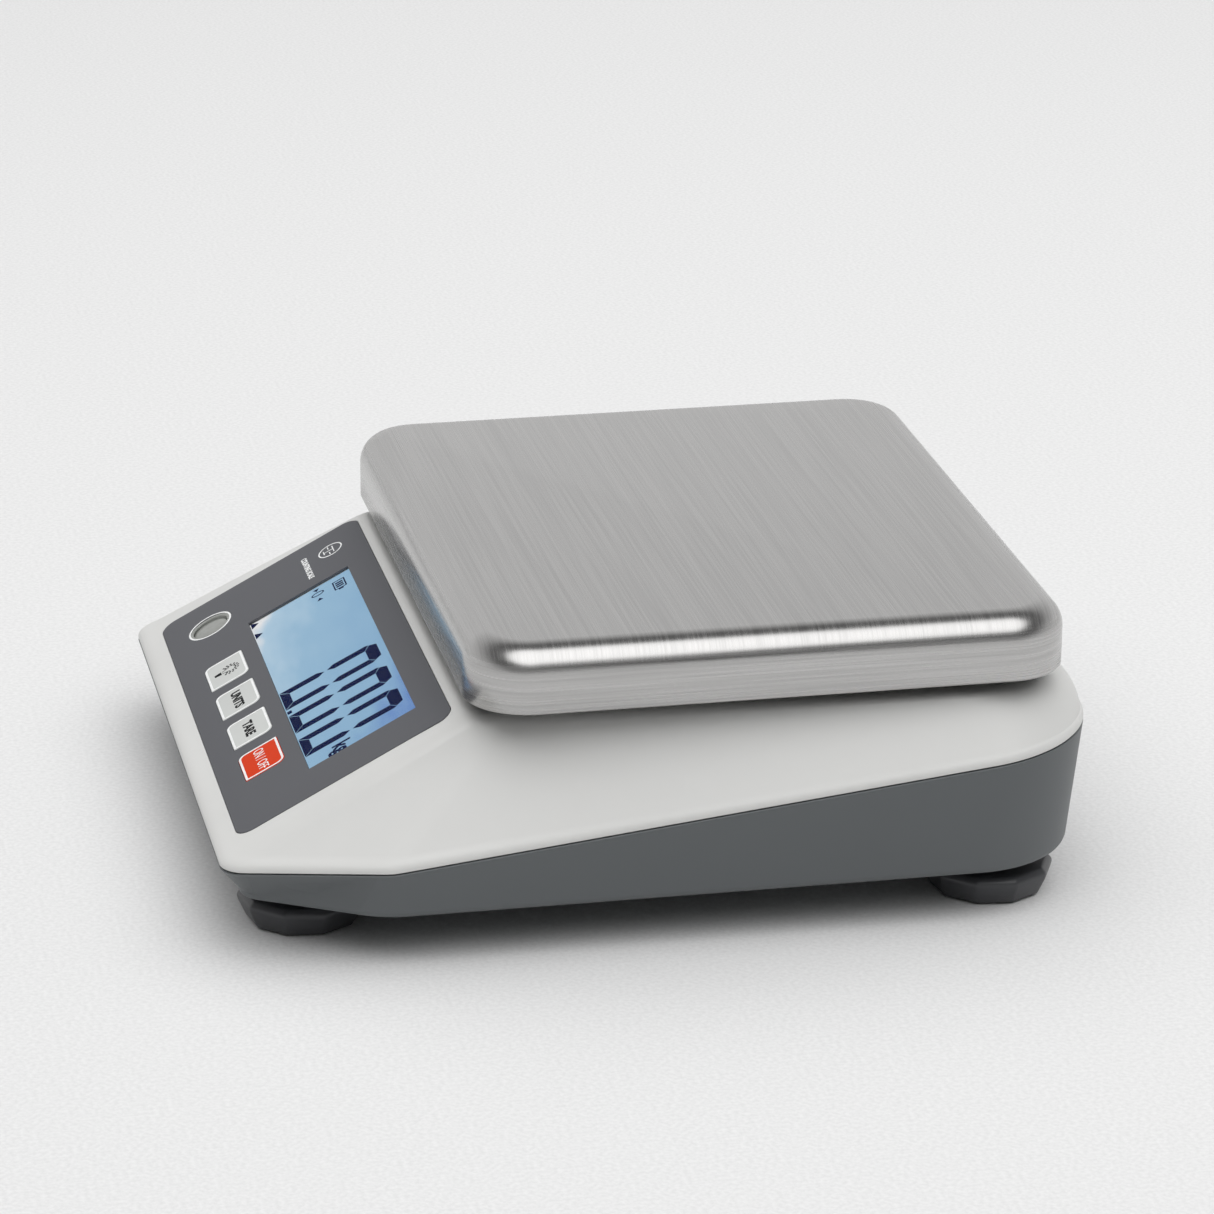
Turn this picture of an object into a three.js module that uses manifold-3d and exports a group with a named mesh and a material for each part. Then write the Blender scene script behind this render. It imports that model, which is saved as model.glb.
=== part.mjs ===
// Bench counting scale: a two-shell ABS housing on four levelling feet, a sloping keypad panel with a
// backlit display, a single-point load cell with its pan support, and a lift-off stainless pan.
//
// Millimetres, +Z up. The operator stands at -Y and +X is on the operator's right. The origin is on the
// bench, under the middle of the housing.

import * as THREE from 'three';
import { mergeVertices } from 'three/addons/utils/BufferGeometryUtils.js';
import Module from 'manifold-3d';

const wasm = await Module();
wasm.setup();

// ---------------------------------------------------------------- driving dimensions

const GAP = 0.3; // clearance between pieces that touch in the real scale
const WALL = 2.6; // moulded wall thickness

// Housing, in plan at three levels, and the heights that go with them
const HALF_LENGTH = 138.2; // the seam runs from -138.2 to +138.2 in Y
const BASE_BOTTOM = 15.8; // underside of the bottom case above the bench
const FLOOR_TOP = 18.6; // inside floor of the bottom case
const DECK_TOP = 72.4; // flat top of the housing, under the pan
const DECK_UNDER = DECK_TOP - 2.6;
const FLARE_Y = -88; // where the tapered nose meets the straight sides
const SEAM_NOSE = 29.5; // height of the seam at the front edge
const SEAM_NOSE_RISE = 0.038; // slope of the seam along the nose
const SEAM_SIDE_RISE = 0.113; // slope of the seam along the straight sides
const BAND_RISE = 2.6; // height of the upright band of the cover above the seam
const BAND_INSET = 1.0;

const BOTTOM_OUTLINE = {
  frontX: 97.5, frontY: -131.5, flareX: 121, flareY: -91, rearX: 121.6, rearY: 134.2,
  frontR: 6, flareR: 18, rearR: 36,
};
const SEAM_OUTLINE = {
  frontX: 107.1, frontY: -HALF_LENGTH, flareX: 122.7, flareY: FLARE_Y, rearX: 123.3, rearY: HALF_LENGTH,
  frontR: 7, flareR: 14, rearR: 37,
};
const DECK_OUTLINE = {
  frontX: 99.4, frontY: -61.8, flareX: 98.6, flareY: -46, rearX: 111, rearY: 124.5,
  frontR: 4, flareR: 10, rearR: 28,
};

// Sloping operator panel: its local frame has +X across, +Y up the slope and +Z out of the panel
const PANEL_SLOPE = THREE.MathUtils.degToRad(28.1);
const PANEL_FOOT_Y = -131.25; // lower edge of the keypad overlay
const PANEL_FOOT_Z = 35.3;
const OVERLAY = { width: 186.8, height: 76.1, radius: 5.5, thick: 0.8, proud: 0.2 };
const WINDOW = { left: -57.3, right: 74.8, low: 28.3, high: 66.4 };
const KEY = { width: 19.7, height: 14.2, low: 8.5, underside: -0.4, proud: 0.35, travelRoom: 0.8 };
const KEY_CENTRES = { key_light: -29.8, key_units: -3.7, key_tare: 22.4, key_on_off: 49.1 };
const SWITCH_TOP = -4.6; // top of the tact switch plunger, below the panel surface
const LEVEL = { u: -72.5, v: 16, hole: 7.3, cup: 7, bore: 5.9, vial: 5.6, vialTop: -0.3, floor: 32.5 };
const BOARD_TOP = -9.5; // upper face of the display board, below the panel surface
const BOARD = { left: -63, right: 85, low: 6, high: 71, thick: 1.6 };

// Weighing pan, centred over the load cell
const PAN = { width: 230, depth: 190, top: 98.6, skirt: 21.3, edge: 9, corner: 20, sheet: 1.2 };
const PAN_Y = 33.25;

// Load cell and what it carries
const CELL = { width: 30, length: 130, low: 30, high: 52, holeRadius: 8, holeOffset: 20, slot: 6 };
const CELL_FRONT = PAN_Y - CELL.length / 2;
const CELL_REAR = PAN_Y + CELL.length / 2;
const BOLT = { shank: 3, head: 5, headHeight: 3.7, hole: 3.3, seat: 5.6, inset: 7.5, pitch: 15 };
const LOWER_PAD_TOP = 24; // thick pad of the bottom case under the load cell
const SUPPORT = { low: 57, high: 65, reachX: 80, reachY: 58, beam: 14, plate: 52 };
const POST = { radius: 6, top: 93 };
const BUMPER = { radius: 9, low: 86, top: PAN.top - PAN.sheet - GAP };
const DECK_HOLE = 10.5;
const COLLAR = { radius: 13, top: 75.5 };
const STOP = { x: 60, boss: 6, bossTop: 44, shank: 3, head: 5, top: 56.4 };

// Levelling feet
const FRONT_FOOT = { x: 75.9, y: -108.85 };
const REAR_FOOT = { x: 92.6, y: 108.05 };
const FOOT = { flange: 21, sole: 17.7, knobLow: 2, knobTop: 10, hub: 9, hubTop: 13, facets: 12 };
const PAD = { radius: 15.5, recess: 0.8 };
const STUD = { radius: 4, low: 4, top: 29.5 };
const INSERT = { radius: 6, bore: 4.3, low: 16.4, top: 24.4, boss: 9.5, bossTop: 26 };

// Fasteners of the two shells
const SCREW = { shank: 1.8, head: 3.8, headLow: 22.7, headTop: 25.7, top: 50, hole: 2.1 };
const SCREW_PLACES = { front: { x: 86, y: -46 }, rear: { x: 68, y: 116 } };
const SCREW_BOSS = { radius: 5.5, seat: 4.3, seatTop: 26, top: 39.7, mateRadius: 4.5, mateLow: 40 };

// Electronics and power
const BATTERY = { x: 56, y: PAN_Y, width: 52, length: 97, low: 22, height: 24 };
const DOOR_OPENING = { width: 58, length: 103 };
const MAIN_BOARD = { halfWidth: 58, front: -112, rear: -46, low: 24, thick: 1.6 };
const STANDOFF = { x: 50, margin: 8, radius: 3.5 };
const BUZZER = { x: 34, y: -58, radius: 6, hole: 1.2, height: 9 };
const JACK = { x: -20, z: 31, width: 14, height: 12, length: 13, nose: 4.5, bore: 3.1, pin: 1, depth: 9 };
const RIBBON = { x: -30, width: 24, thick: 1 };

// ---------------------------------------------------------------- finishes

const finish = (color, roughness, metalness = 0) => new THREE.MeshStandardMaterial({
  color, roughness, metalness,
});
const FINISH = {
  cover: () => finish(0xd6d6d4, 0.45),
  base: () => finish(0x5c5e60, 0.5),
  overlay: () => finish(0x646569, 0.6),
  window: () => finish(0xbfd3e6, 0.1),
  glass: () => finish(0x9db8da, 0.15),
  diffuser: () => finish(0xe8eef4, 0.4),
  board: () => finish(0x2f6b45, 0.5),
  key: () => finish(0xcbcdcb, 0.5),
  redKey: () => finish(0xd8431a, 0.5),
  black: () => finish(0x1c1d1f, 0.5),
  rubber: () => finish(0x26272a, 0.8),
  foot: () => finish(0x4a4c4f, 0.5),
  steel: () => finish(0xb9bbbd, 0.3, 1),
  zinc: () => finish(0xa9adb0, 0.35, 1),
  brass: () => finish(0xc2a14d, 0.3, 1),
  castMetal: () => finish(0x9ea1a3, 0.5, 1),
  ribbon: () => finish(0x8f949a, 0.6),
};

// ---------------------------------------------------------------- solids and booleans

function toSolid(geometry) {
  const bare = geometry.clone();
  bare.deleteAttribute('normal');
  bare.deleteAttribute('uv');
  const merged = mergeVertices(bare, 1e-4);
  return new wasm.Manifold(new wasm.Mesh({
    numProp: 3,
    vertProperties: new Float32Array(merged.attributes.position.array),
    triVerts: new Uint32Array(merged.index.array),
  }));
}

function toGeometry(solid) {
  const mesh = solid.getMesh();
  const geometry = new THREE.BufferGeometry();
  geometry.setAttribute('position', new THREE.BufferAttribute(mesh.vertProperties, 3));
  geometry.setIndex(new THREE.BufferAttribute(mesh.triVerts, 1));
  geometry.computeVertexNormals();
  return geometry;
}

const join = (first, ...others) => others.reduce((sum, next) => sum.add(toSolid(next)), toSolid(first));
const cut = (solid, ...tools) => tools.reduce((left, tool) => left.subtract(toSolid(tool)), solid);

// A box between two corners
function block(x0, x1, y0, y1, z0, z1) {
  return new THREE.BoxGeometry(x1 - x0, y1 - y0, z1 - z0)
    .translate((x0 + x1) / 2, (y0 + y1) / 2, (z0 + z1) / 2);
}

// An upright cylinder
function post(radius, z0, z1, x = 0, y = 0, sides = 12) {
  return new THREE.CylinderGeometry(radius, radius, z1 - z0, sides)
    .rotateX(Math.PI / 2)
    .translate(x, y, (z0 + z1) / 2);
}

// A solid of revolution about an upright axis, from [radius, height] pairs that start and end on the axis
function turned(profile, x = 0, y = 0, sides = 12) {
  const points = profile.map(([radius, height]) => new THREE.Vector2(radius, height));
  return new THREE.LatheGeometry(points, sides).rotateX(Math.PI / 2).translate(x, y, 0);
}

// A plan loop with each corner rounded to its own radius, anticlockwise
function roundedLoop(corners) {
  const loop = [];
  corners.forEach((corner, index) => {
    const here = new THREE.Vector2(corner.x, corner.y);
    const before = corners[(index + corners.length - 1) % corners.length];
    const after = corners[(index + 1) % corners.length];
    const back = new THREE.Vector2(before.x, before.y).sub(here).normalize();
    const ahead = new THREE.Vector2(after.x, after.y).sub(here).normalize();
    const half = Math.acos(THREE.MathUtils.clamp(back.dot(ahead), -1, 1)) / 2;
    const reach = corner.r / Math.tan(half);
    const middle = back.clone().add(ahead).normalize()
      .multiplyScalar(corner.r / Math.sin(half))
      .add(here);
    const start = back.clone().multiplyScalar(reach).add(here).sub(middle);
    const turn = Math.sign(ahead.cross(back)) * (Math.PI - 2 * half);
    for (let step = 0; step < corner.n; step += 1) {
      const spoke = start.clone().rotateAround(new THREE.Vector2(), (turn * step) / (corner.n - 1));
      loop.push([middle.x + spoke.x, middle.y + spoke.y]);
    }
  });
  return loop;
}

function roundedRectangle(width, depth, radius, points, x = 0, y = 0) {
  const corner = (sideX, sideY) => ({
    x: x + sideX * width / 2, y: y + sideY * depth / 2, r: radius, n: points,
  });
  return roundedLoop([corner(1, -1), corner(1, 1), corner(-1, 1), corner(-1, -1)]);
}

// A closed solid through rings of equal count, with a flat cap on the first and the last ring. Rings run
// anticlockwise, and go up an outer wall and down an inner one.
function loft(rings) {
  const count = rings[0].length;
  const places = rings.flat().flat();
  const index = [];
  for (let ring = 0; ring + 1 < rings.length; ring += 1) {
    for (let step = 0; step < count; step += 1) {
      const next = (step + 1) % count;
      const low = ring * count;
      const high = low + count;
      index.push(low + step, low + next, high + next, low + step, high + next, high + step);
    }
  }
  const addCap = (ring, facesDown) => {
    const average = (axis) => rings[ring].reduce((sum, point) => sum + point[axis], 0) / count;
    const middle = [0, 1, 2].map(average);
    const centre = places.length / 3;
    places.push(...middle);
    for (let step = 0; step < count; step += 1) {
      const here = ring * count + step;
      const next = ring * count + ((step + 1) % count);
      index.push(...(facesDown ? [centre, next, here] : [centre, here, next]));
    }
  };
  addCap(0, true);
  addCap(rings.length - 1, false);
  const geometry = new THREE.BufferGeometry();
  geometry.setAttribute('position', new THREE.Float32BufferAttribute(places, 3));
  geometry.setIndex(index);
  geometry.computeVertexNormals();
  return geometry;
}

const flatRing = (loop, z) => loop.map(([x, y]) => [x, y, z]);
const slab = (loop, z0, z1) => loft([flatRing(loop, z0), flatRing(loop, z1)]);

// ---------------------------------------------------------------- placing in the assembly

const scale = new THREE.Group();
scale.name = 'counting_scale';

const panel = new THREE.Group();
panel.position.set(0, PANEL_FOOT_Y, PANEL_FOOT_Z);
panel.rotation.x = PANEL_SLOPE;
panel.updateMatrix();
scale.add(panel);

function addPiece(name, geometry, material, parent = scale) {
  const mesh = new THREE.Mesh(geometry, material);
  mesh.name = name;
  parent.add(mesh);
}

// A tool drawn in the panel's frame, moved into the assembly's frame
const fromPanel = (geometry) => geometry.applyMatrix4(panel.matrix);
// A tool drawn in the assembly's frame, moved into the panel's frame
const intoPanel = (geometry) => geometry.applyMatrix4(panel.matrix.clone().invert());

const levelSpot = new THREE.Vector3(LEVEL.u, LEVEL.v, 0).applyMatrix4(panel.matrix);

// The four places that mirror one front place and one rear place
function fourPlaces(front, rear) {
  return [
    ['front_left', -front.x, front.y],
    ['front_right', front.x, front.y],
    ['rear_left', -rear.x, rear.y],
    ['rear_right', rear.x, rear.y],
  ];
}
const SUPPORT_CORNERS = fourPlaces(
  { x: SUPPORT.reachX, y: PAN_Y - SUPPORT.reachY },
  { x: SUPPORT.reachX, y: PAN_Y + SUPPORT.reachY },
);
const STOP_PLACES = fourPlaces(
  { x: STOP.x, y: PAN_Y - SUPPORT.reachY },
  { x: STOP.x, y: PAN_Y + SUPPORT.reachY },
);
const FOOT_PLACES = fourPlaces(FRONT_FOOT, REAR_FOOT);
const SCREW_SPOTS = fourPlaces(SCREW_PLACES.front, SCREW_PLACES.rear);
const BOARD_CORNERS = fourPlaces(
  { x: STANDOFF.x, y: MAIN_BOARD.front + STANDOFF.margin },
  { x: STANDOFF.x, y: MAIN_BOARD.rear - STANDOFF.margin },
);

// The same upright cylinder at each of several places
const postsAt = (places, radius, z0, z1) => places.map(([, x, y]) => post(radius, z0, z1, x, y));

// ---------------------------------------------------------------- housing shells

// The same outline, moved inwards. The nose tapers by about a third, so its rear end moves back less.
const shrunk = (size, inset) => ({
  frontX: size.frontX - inset, frontY: size.frontY + inset, frontR: size.frontR,
  flareX: size.flareX - inset, flareY: size.flareY + inset / 3, flareR: size.flareR,
  rearX: size.rearX - inset, rearY: size.rearY - inset, rearR: size.rearR - inset,
});

function housingOutline(size) {
  const right = [
    { x: size.frontX, y: size.frontY, r: size.frontR, n: 5 },
    { x: size.flareX, y: size.flareY, r: size.flareR, n: 4 },
    { x: size.rearX, y: size.rearY, r: size.rearR, n: 8 },
  ];
  const left = right.map((corner) => ({ ...corner, x: -corner.x })).reverse();
  return roundedLoop([...right, ...left]);
}

function seamHeight(y) {
  const nose = Math.min(y, FLARE_Y);
  const side = Math.max(y - FLARE_Y, 0);
  return SEAM_NOSE + SEAM_NOSE_RISE * (nose + HALF_LENGTH) + SEAM_SIDE_RISE * side;
}

const seamRing = (inset, rise) => housingOutline(shrunk(SEAM_OUTLINE, inset))
  .map(([x, y]) => [x, y, seamHeight(y) + rise]);

// The cover's outer wall at a share of the way from its band to its deck. The front and the sides are
// straight slopes, and the back is a quarter ellipse.
function coverRing(share) {
  const band = shrunk(SEAM_OUTLINE, BAND_INSET);
  const mixed = Object.fromEntries(Object.keys(band).map((key) => [
    key, THREE.MathUtils.lerp(band[key], DECK_OUTLINE[key], share),
  ]));
  mixed.rearY = THREE.MathUtils.lerp(band.rearY, DECK_OUTLINE.rearY, 1 - Math.sqrt(1 - share * share));
  const foot = seamRing(BAND_INSET, BAND_RISE);
  return housingOutline(mixed)
    .map(([x, y], step) => [x, y, THREE.MathUtils.lerp(foot[step][2], DECK_TOP, share)]);
}

const windowHole = () => block(
  WINDOW.left - GAP, WINDOW.right + GAP, WINDOW.low - GAP, WINDOW.high + GAP, -6, 3,
);

// The keypad panel's pocket, window and key holes
function panelCuts() {
  const middleV = OVERLAY.height / 2;
  const pocketLoop = roundedRectangle(
    OVERLAY.width + 2 * GAP, OVERLAY.height + 2 * GAP, OVERLAY.radius, 4, 0, middleV,
  );
  const pocketFloor = OVERLAY.proud - OVERLAY.thick - GAP;
  const pocket = slab(pocketLoop, pocketFloor, 3);
  const stems = Object.values(KEY_CENTRES)
    .map((u) => post(3.6, -6, 2, u, KEY.low + KEY.height / 2));
  return [pocket, windowHole(), ...stems].map(fromPanel);
}

function addTopCover() {
  const ceiling = housingOutline(shrunk(DECK_OUTLINE, 1.5));
  const rings = [
    flatRing(ceiling, DECK_UNDER),
    seamRing(WALL + 2, 1.3),
    seamRing(WALL, GAP / 2),
    seamRing(0, GAP / 2),
    seamRing(0, 1.7),
    ...[0, 0.5, 0.85, 1].map(coverRing),
  ];
  const bosses = postsAt(SCREW_SPOTS, SCREW_BOSS.mateRadius, SCREW_BOSS.mateLow, DECK_TOP - 1);
  const collars = postsAt(SUPPORT_CORNERS, COLLAR.radius, DECK_UNDER + 1, COLLAR.top);
  const shell = join(loft(rings), ...bosses, ...collars);
  const pilots = postsAt(SCREW_SPOTS, SCREW.hole, SCREW_BOSS.mateLow - 1, SCREW.top + 2);
  const posts = postsAt(SUPPORT_CORNERS, DECK_HOLE, DECK_UNDER - 5, COLLAR.top + 1);
  const level = post(LEVEL.hole, LEVEL.floor, levelSpot.z + 10, levelSpot.x, levelSpot.y);
  addPiece('top_cover', toGeometry(cut(shell, ...pilots, ...posts, level, ...panelCuts())), FINISH.cover());
}

function addBottomCase() {
  const rings = [
    flatRing(housingOutline(shrunk(BOTTOM_OUTLINE, 2.5)), BASE_BOTTOM),
    flatRing(housingOutline(shrunk(BOTTOM_OUTLINE, 0.7)), BASE_BOTTOM + 0.7),
    flatRing(housingOutline(BOTTOM_OUTLINE), BASE_BOTTOM + 2.5),
    seamRing(0, -GAP / 2),
    seamRing(WALL, -GAP / 2),
    flatRing(housingOutline(shrunk(BOTTOM_OUTLINE, WALL + 0.6)), FLOOR_TOP),
  ];
  const into = FLOOR_TOP - 1;
  const cellPad = block(-19, 19, CELL_REAR - 34, CELL_REAR + 2, into, LOWER_PAD_TOP);
  const footBosses = postsAt(FOOT_PLACES, INSERT.boss, into, INSERT.bossTop);
  const screwBosses = postsAt(SCREW_SPOTS, SCREW_BOSS.radius, into, SCREW_BOSS.top);
  const stopBosses = postsAt(STOP_PLACES, STOP.boss, into, STOP.bossTop);
  const standoffs = postsAt(BOARD_CORNERS, STANDOFF.radius, into, MAIN_BOARD.low - GAP);
  const shell = join(loft(rings), cellPad, ...footBosses, ...screwBosses, ...stopBosses, ...standoffs);

  const under = BASE_BOTTOM - 1;
  const insertHoles = postsAt(FOOT_PLACES, INSERT.radius + GAP, under, INSERT.bossTop + 1);
  const screwHoles = [
    ...postsAt(SCREW_SPOTS, SCREW.hole, under, SCREW_BOSS.top + 1),
    ...postsAt(SCREW_SPOTS, SCREW_BOSS.seat, under, SCREW_BOSS.seatTop),
  ];
  const stopHoles = postsAt(STOP_PLACES, STOP.shank + GAP, FLOOR_TOP + 6, STOP.bossTop + 1);
  const boltHoles = lowerBoltSpots().flatMap((y) => [
    post(BOLT.hole, under, LOWER_PAD_TOP + 1, 0, y),
    post(BOLT.seat, under, BASE_BOTTOM + 5.2, 0, y),
  ]);
  const hatch = slab(roundedRectangle(
    DOOR_OPENING.width, DOOR_OPENING.length, 4, 4, BATTERY.x, BATTERY.y,
  ), under, FLOOR_TOP + 1);
  const jackHole = new THREE.CylinderGeometry(JACK.nose + GAP, JACK.nose + GAP, 20, 12)
    .translate(JACK.x, HALF_LENGTH, JACK.z);
  const pierced = cut(shell, ...insertHoles, ...screwHoles, ...stopHoles, ...boltHoles, hatch, jackHole);
  addPiece('bottom_case', toGeometry(pierced), FINISH.base());
}

// ---------------------------------------------------------------- operator panel

function addOverlay() {
  const bottom = OVERLAY.proud - OVERLAY.thick;
  const loop = roundedRectangle(
    OVERLAY.width, OVERLAY.height, OVERLAY.radius, 4, 0, OVERLAY.height / 2,
  );
  const sheet = toSolid(slab(loop, bottom, OVERLAY.proud));
  const keys = Object.values(KEY_CENTRES).map((u) => block(
    u - KEY.width / 2 - GAP, u + KEY.width / 2 + GAP, KEY.low - GAP, KEY.low + KEY.height + GAP, -3, 3,
  ));
  const level = intoPanel(post(LEVEL.hole, LEVEL.floor, levelSpot.z + 10, levelSpot.x, levelSpot.y));
  const film = cut(sheet, windowHole(), ...keys, level);
  addPiece('keypad_overlay', toGeometry(film), FINISH.overlay(), panel);
}

function addDisplay() {
  const { left, right, low, high } = WINDOW;
  const bottom = OVERLAY.proud - OVERLAY.thick;
  const glassTop = bottom - GAP;
  const glassBottom = glassTop - 2.6;
  const layer = (z0, z1) => block(left, right, low, high, z0, z1);
  const board = block(
    BOARD.left, BOARD.right, BOARD.low, BOARD.high, BOARD_TOP - BOARD.thick, BOARD_TOP,
  );
  const layers = [
    ['display_window', layer(bottom, OVERLAY.proud), FINISH.window()],
    ['lcd_glass', layer(glassBottom, glassTop), FINISH.glass()],
    ['lcd_backlight', layer(BOARD_TOP + GAP, glassBottom - GAP), FINISH.diffuser()],
    ['display_board', board, FINISH.board()],
  ];
  layers.forEach(([name, geometry, material]) => addPiece(name, geometry, material, panel));
}

function addKeys() {
  const middle = KEY.low + KEY.height / 2;
  Object.entries(KEY_CENTRES).forEach(([name, u]) => {
    const capLoop = roundedRectangle(KEY.width, KEY.height, 1.5, 3, u, middle);
    const cap = slab(capLoop, KEY.underside, KEY.proud);
    const stem = post(2.5, SWITCH_TOP + KEY.travelRoom, 0, u, middle);
    const paint = name === 'key_on_off' ? FINISH.redKey() : FINISH.key();
    addPiece(name, toGeometry(join(cap, stem)), paint, panel);

    const body = block(u - 3, u + 3, middle - 3, middle + 3, BOARD_TOP + GAP, SWITCH_TOP - 1);
    const plunger = post(1.7, SWITCH_TOP - 2, SWITCH_TOP, u, middle);
    addPiece(name.replace('key', 'switch'), toGeometry(join(body, plunger)), FINISH.black(), panel);
  });
}

function addSpiritLevel() {
  const { x, y, z } = levelSpot;
  const above = (w) => fromPanel(block(
    LEVEL.u - 30, LEVEL.u + 30, LEVEL.v - 30, LEVEL.v + 30, w, 30,
  ));
  const seat = LEVEL.floor + 1.5;
  const cup = toSolid(post(LEVEL.cup, LEVEL.floor, z + 10, x, y));
  const bore = post(LEVEL.bore, seat, z + 11, x, y);
  addPiece('level_cup', toGeometry(cut(cup, above(OVERLAY.proud), bore)), FINISH.black());
  const vial = toSolid(post(LEVEL.vial, seat + GAP, z + 10, x, y));
  addPiece('level_vial', toGeometry(cut(vial, above(LEVEL.vialTop))), FINISH.window());
}

// ---------------------------------------------------------------- electronics and power

function addElectronics() {
  const { halfWidth, front, rear, low, thick } = MAIN_BOARD;
  addPiece('main_board', block(-halfWidth, halfWidth, front, rear, low, low + thick), FINISH.board());
  const buzzerLow = low + thick + GAP;
  const buzzerTop = buzzerLow + BUZZER.height;
  const buzzer = turned([
    [0, buzzerLow], [BUZZER.radius, buzzerLow], [BUZZER.radius, buzzerTop],
    [BUZZER.hole, buzzerTop], [BUZZER.hole, buzzerTop - 2], [0, buzzerTop - 2],
  ], BUZZER.x, BUZZER.y);
  addPiece('buzzer', buzzer, FINISH.black());
}

// Flat cable from the display board down to the main board, in one S-shaped fold
function addRibbon() {
  const start = new THREE.Vector3(0, BOARD.high - 12, BOARD_TOP - BOARD.thick - GAP)
    .applyMatrix4(panel.matrix);
  const end = { y: start.y + 6, z: MAIN_BOARD.low + MAIN_BOARD.thick + GAP };
  const half = RIBBON.thick / 2;
  const midway = (start.z + end.z) / 2;
  const route = [
    [start.y, start.z - half], [start.y + 1, midway + 4], [start.y + 5, midway - 4], [end.y, end.z],
  ];
  const shape = new THREE.Shape([
    ...route.map(([y, z]) => new THREE.Vector2(y - half, z)),
    ...route.map(([y, z]) => new THREE.Vector2(y + half, z)).reverse(),
  ]);
  const strip = new THREE.ExtrudeGeometry(shape, { depth: RIBBON.width, bevelEnabled: false })
    .applyMatrix4(new THREE.Matrix4().makeBasis(
      new THREE.Vector3(0, 1, 0), new THREE.Vector3(0, 0, 1), new THREE.Vector3(1, 0, 0),
    ))
    .translate(RIBBON.x - RIBBON.width / 2, 0, 0);
  addPiece('display_ribbon', strip, FINISH.ribbon());
}

function addBattery() {
  const { x, y, width, length, low, height } = BATTERY;
  const caseLoop = roundedRectangle(width, length, 2, 3, x, y);
  addPiece('battery', slab(caseLoop, low, low + height), FINISH.black());
  const doorLoop = roundedRectangle(
    DOOR_OPENING.width - 2 * GAP, DOOR_OPENING.length - 2 * GAP, 3.7, 4, x, y,
  );
  const plate = slab(doorLoop, BASE_BOTTOM + GAP, FLOOR_TOP);
  const ribs = [-1, 1].map((side) => block(
    x - 20, x + 20, y + side * 30 - 1, y + side * 30 + 1, FLOOR_TOP - 0.5, low - GAP,
  ));
  addPiece('battery_door', toGeometry(join(plate, ...ribs)), FINISH.base());
}

function addPowerInlet() {
  const wall = SEAM_OUTLINE.rearY - 6.5;
  const tip = SEAM_OUTLINE.rearY - 3;
  const body = block(
    JACK.x - JACK.width / 2, JACK.x + JACK.width / 2, wall - JACK.length, wall,
    JACK.z - JACK.height / 2, JACK.z + JACK.height / 2,
  );
  const along = (radius, from, to) => new THREE.CylinderGeometry(radius, radius, to - from, 12)
    .translate(JACK.x, (from + to) / 2, JACK.z);
  const barrel = join(body, along(JACK.nose, wall - 1, tip));
  const shell = cut(barrel, along(JACK.bore, tip - JACK.depth, tip + 1));
  const pinned = shell.add(toSolid(along(JACK.pin, tip - JACK.depth - 1, tip - 1)));
  addPiece('power_inlet', toGeometry(pinned), FINISH.black());
}

// ---------------------------------------------------------------- load cell and pan

const upperBoltSpots = () => [CELL_FRONT + BOLT.inset, CELL_FRONT + BOLT.inset + BOLT.pitch];
const lowerBoltSpots = () => [CELL_REAR - BOLT.inset - BOLT.pitch, CELL_REAR - BOLT.inset];

// A single-point beam: the eyelet pair and its slot run across the beam and make the thin flexing webs
function addLoadCell() {
  const half = CELL.width / 2;
  const middle = (CELL.low + CELL.high) / 2;
  const beam = toSolid(block(-half, half, CELL_FRONT, CELL_REAR, CELL.low, CELL.high));
  const eye = (side) => new THREE.CylinderGeometry(CELL.holeRadius, CELL.holeRadius, CELL.width + 2, 16)
    .rotateZ(Math.PI / 2)
    .translate(0, PAN_Y + side * CELL.holeOffset, middle);
  const slot = block(
    -half - 1, half + 1, PAN_Y - CELL.holeOffset, PAN_Y + CELL.holeOffset,
    middle - CELL.slot / 2, middle + CELL.slot / 2,
  );
  const upper = upperBoltSpots().map((y) => post(BOLT.hole, middle - 2, CELL.high + 1, 0, y));
  const lower = lowerBoltSpots().map((y) => post(BOLT.hole, CELL.low - 1, middle + 2, 0, y));
  const pierced = cut(beam, eye(-1), eye(1), slot, ...upper, ...lower);
  addPiece('load_cell', toGeometry(pierced), FINISH.castMetal());
}

function addSpacers() {
  const half = CELL.width / 2;
  const spacer = (name, y0, y1, z0, z1, spots) => {
    const holes = spots.map((y) => post(BOLT.hole, z0 - 1, z1 + 1, 0, y));
    const plate = toSolid(block(-half, half, y0, y1, z0, z1));
    addPiece(name, toGeometry(cut(plate, ...holes)), FINISH.zinc());
  };
  spacer('spacer_lower', CELL_REAR - 30, CELL_REAR, LOWER_PAD_TOP + GAP, CELL.low - GAP, lowerBoltSpots());
  spacer('spacer_upper', CELL_FRONT, CELL_FRONT + 30, CELL.high + GAP, SUPPORT.low - GAP, upperBoltSpots());
}

function addCellBolts() {
  const middle = (CELL.low + CELL.high) / 2;
  upperBoltSpots().forEach((y, step) => {
    const seat = SUPPORT.high - 4 + GAP;
    addPiece(`bolt_upper_${step + 1}`, turned([
      [0, middle], [BOLT.shank, middle], [BOLT.shank, seat], [BOLT.head, seat],
      [BOLT.head, seat + BOLT.headHeight - GAP], [0, seat + BOLT.headHeight - GAP],
    ], 0, y), FINISH.steel());
  });
  lowerBoltSpots().forEach((y, step) => {
    const seat = BASE_BOTTOM + 5.2 - GAP;
    addPiece(`bolt_lower_${step + 1}`, turned([
      [0, seat - BOLT.headHeight], [BOLT.head, seat - BOLT.headHeight], [BOLT.head, seat],
      [BOLT.shank, seat], [BOLT.shank, middle], [0, middle],
    ], 0, y), FINISH.steel());
  });
}

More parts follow.
